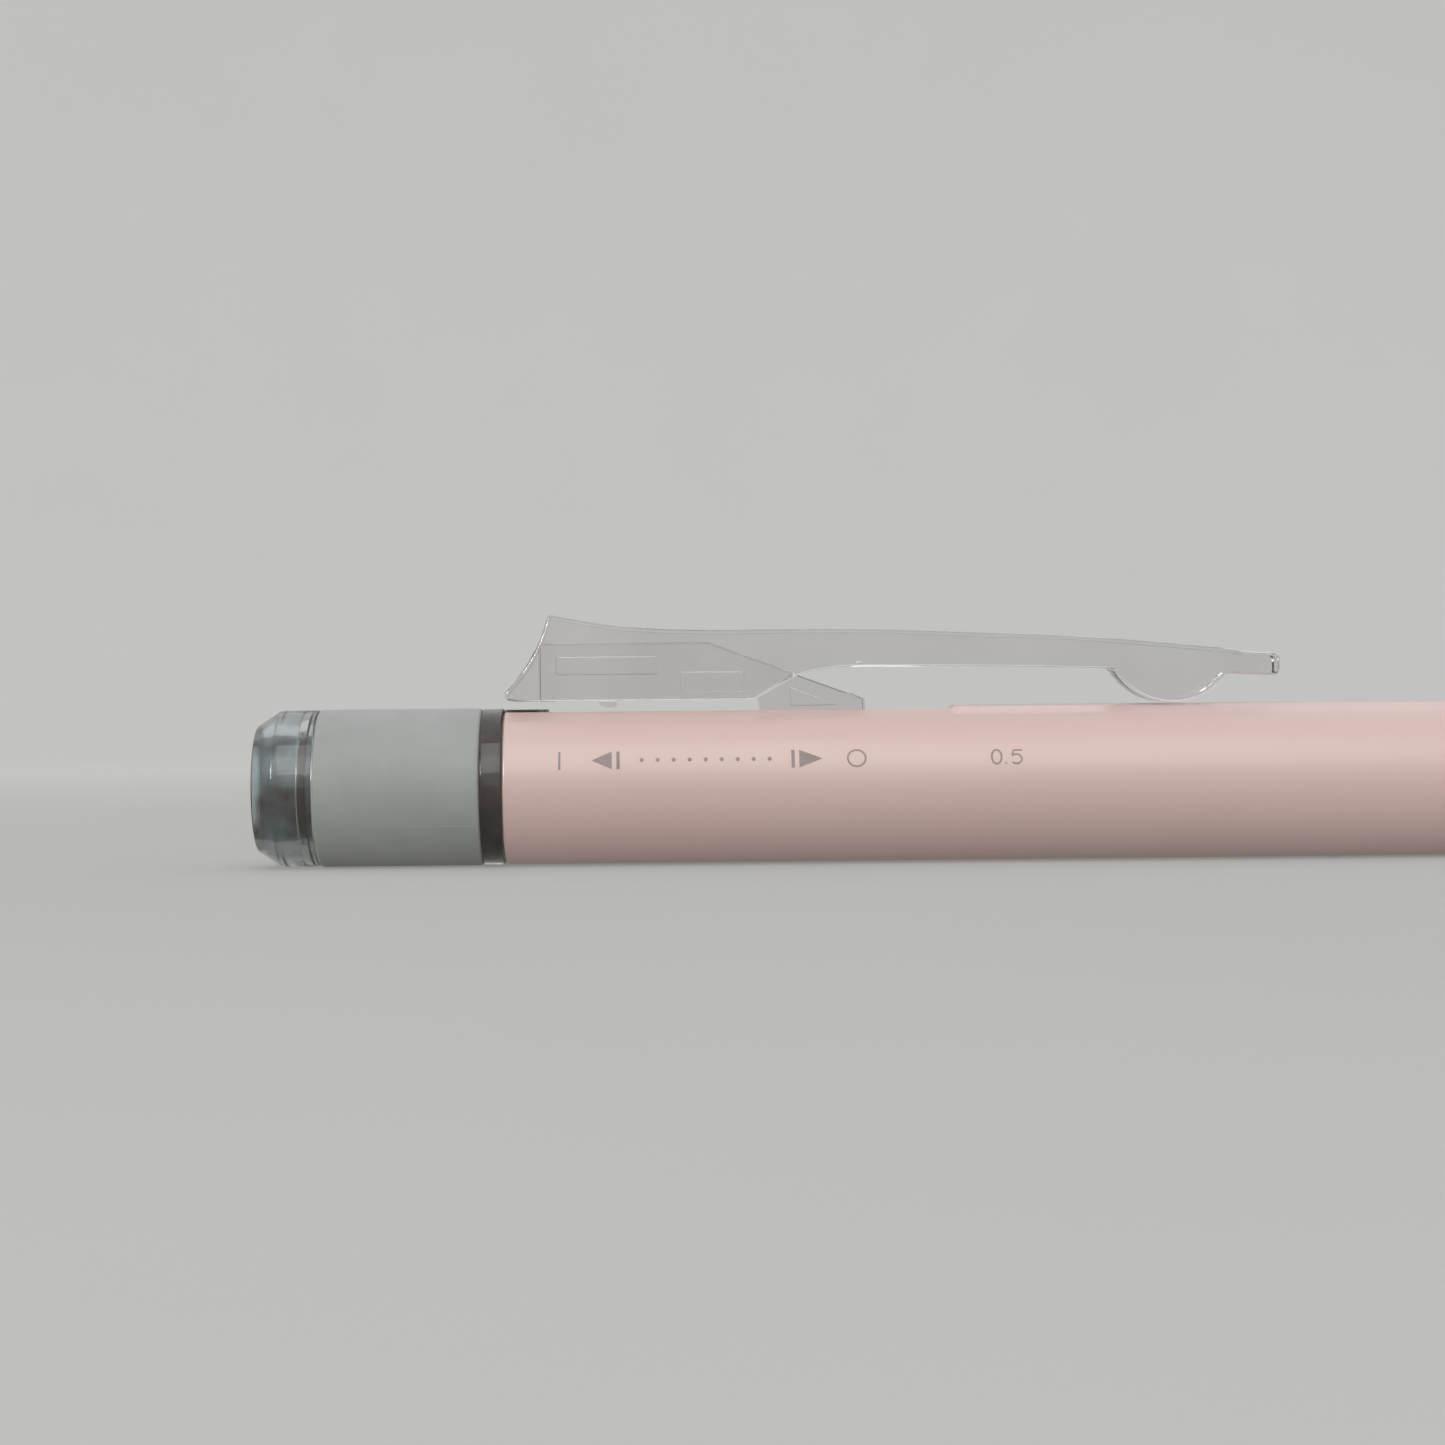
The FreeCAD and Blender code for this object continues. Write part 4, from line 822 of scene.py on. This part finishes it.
signs = [
    stroke(straight((20.7, -MARK_HEIGHT / 2), (20.7, MARK_HEIGHT / 2)), 0.15),
    wedge_sign(22.9, 24.2), stroke(straight((24.62, -MARK_HEIGHT / 2), (24.62, MARK_HEIGHT / 2)), 0.22),
    stroke(straight((36.33, -MARK_HEIGHT / 2), (36.33, MARK_HEIGHT / 2)), 0.22), wedge_sign(38.25, 36.75),
    stroke(ring_path((40.6, 0), 1.2, MARK_HEIGHT - 0.1), 0.13),
]
signs += [stroke(ring_path((x, 0), 0.16, 0.16), 0.12) for x in np.arange(26.2, 35.2, 1.07)]
signs += [
    stroke(ring_path((50.0, 0), 0.66, 0.98), 0.13), stroke(ring_path((50.62, -0.45), 0.07, 0.07), 0.07),
    stroke(np.concatenate([straight((51.72, 0.47), (51.2, 0.47), 5), straight((51.13, 0.4), (51.05, 0.05), 5),
                           ring_path((51.33, -0.16), 0.72, 0.66, 2.3, -2.4, 26)]), 0.12),
]


def printed(name, sheets, body):
    """Every sheet wrapped round the barrel: its height divided by the radius, added to the mark line's
    lift, is the angle above the level front. A second layer under it gives the ink its thickness."""
    points, faces, used = [], [], 0
    for sheet in sheets:
        rows, columns = sheet.shape[:2]
        angle = MARK_LIFT + sheet[..., 1] / BARREL_RADIUS
        for radius in (BARREL_RADIUS + INK, BARREL_RADIUS - INK_ROOT):
            front, lift = -radius * np.cos(angle), radius * np.sin(angle)
            points.append(place(sheet[..., 0], front, lift).reshape(-1, 3))
        count = rows * columns
        cells = quads(rows, columns)
        edge = np.concatenate([np.arange(columns), np.arange(1, rows) * columns + columns - 1,
                               (rows - 1) * columns + np.arange(columns - 2, -1, -1),
                               np.arange(rows - 2, 0, -1) * columns])
        rim = np.stack([edge, np.roll(edge, -1), np.roll(edge, -1) + count, edge + count], -1)
        faces += [cells + used, cells + used + count, rim + used]
        used += 2 * count
    mesh = surface_mesh(name, np.concatenate(points), np.concatenate(faces).tolist())
    return piece(name, mesh, body, "printing_ink")


printed("printed_marks", signs, "barrel")

# %% [markdown]
# ## Table and backdrop
# A pale sheet with no seam: flat round the pencil, then curving up all the way round, so that no edge
# or horizon shows from any side. Its radius and height follow one profile, carried round the upright
# axis. The surface is matt card with a faint grain. It also glows, which is painted light: weakest in the
# middle and stronger towards the rising wall, it fills in the pencil's shadow on the card and brightens the
# wall.
# %% Stage
FLAT, RISE, BEND = 0.62, 0.2, 0.35
# Painted light: the card's own glow at its middle, at the far wall, and the reach over which it rises.
GLOW_NEAR, GLOW_FAR, GLOW_REACH = 0.2, 0.33, 0.5
t = np.linspace(0, math.pi / 2, 24)
reach = np.concatenate([[0.0005, 0.1, 0.3], FLAT + BEND * np.sin(t), [FLAT + BEND + 0.02]])
height = np.concatenate([[0, 0, 0], BEND * (1 - np.cos(t)), [BEND + RISE]])
angle = np.linspace(0, 2 * math.pi, 128, endpoint=False)[None, :]
sweep = np.stack(np.broadcast_arrays(reach[:, None] * np.cos(angle), reach[:, None] * np.sin(angle),
                                     height[:, None]), -1)
card = bpy.data.meshes.new("card_sweep")
sweep_faces = quads(len(reach), 128, False, True)[:, ::-1].tolist() + [list(range(128))]
card.from_pydata(sweep.reshape(-1, 3), [], sweep_faces)
card.polygons.foreach_set("use_smooth", np.ones(len(card.polygons), bool))
moulded("card", ("#8B8B89", "#8D8D8B"), 60.0, (0.85, 0.95, 20.0), (1.2, 0.01), IOR=1.4,
        Emission_Color=linear("#FFFFFC"))
tree = MATERIALS["card"].node_tree
tree.nodes["Principled BSDF"].inputs["Specular IOR Level"].default_value = 0.1
# The card's glow is painted light: emission that grows with distance from the middle, filling the pencil's
# shadow on the card and brightening the wall.
away = add(tree, "VectorMath", {0: add(tree, "TexCoord").outputs["Object"]}, operation="LENGTH")
glow = add(tree, "MapRange", {"Value": away.outputs["Value"], "From Min": 0.0, "From Max": GLOW_REACH,
                              "To Min": GLOW_NEAR, "To Max": GLOW_FAR}, interpolation_type="SMOOTHSTEP")
tree.links.new(glow.outputs["Result"], tree.nodes["Principled BSDF"].inputs["Emission Strength"])
card.materials.append(MATERIALS["card"])
table_top = bpy.data.objects.new("card_sweep", card)
bpy.context.scene.collection.objects.link(table_top)

# %% [markdown]
# ## Light
# Soft daylight: one large square light above and in front of the pencil gives the barrel its long pale
# sheen, and a weaker, wider one fills the front. The world adds an even pale fill that keeps the card
# bright. A small light beyond the tail is seen only in reflections: it draws the bright line along the
# clip's thumb face. The underside of the pencil is left to the light that the card throws back and to the
# card's painted glow.
# %% Light
world = bpy.data.worlds.new("pale_room")
bpy.context.scene.world = world
world.use_nodes = True
world.node_tree.nodes["Background"].inputs["Color"].default_value = linear("#F2F4F5")
world.node_tree.nodes["Background"].inputs["Strength"].default_value = 0.95


def soft_light(name, spot, aim, size, watts, colour):
    """A square light whose back direction runs from what it lights to itself."""
    lamp = bpy.data.lights.new(name, "AREA")
    lamp.shape, lamp.size, lamp.energy, lamp.color = "SQUARE", size, watts, linear(colour)[:3]
    made = bpy.data.objects.new(name, lamp)
    back = np.asarray(spot, float) - np.asarray(aim, float)
    back /= np.linalg.norm(back)
    side = np.cross([0.0, 1.0, 0.01], back)
    side /= np.linalg.norm(side)
    pose = np.eye(4)
    pose[:3] = np.stack([side, np.cross(back, side), back, spot], axis=-1)
    made.matrix_world = Matrix(pose)
    made.visible_camera = False
    bpy.context.scene.collection.objects.link(made)
    return made


soft_light("window_above", (-0.05, -0.42, 0.42), (-0.03, 0, 0), 0.5, 1.05, "#FFFDFA")
soft_light("room_in_front", (-0.05, -0.75, 0.2), (-0.03, 0, 0), 1.0, 1.5, "#FFFDFA")
glint = soft_light("window_at_the_tail", (-0.55, -0.32, 0.24), (-0.05, 0, 0), 0.2, 2.4, "#FFFFFF")
glint.visible_diffuse = False
bpy.context.scene.view_settings.view_transform = "Standard"
print("lights placed")
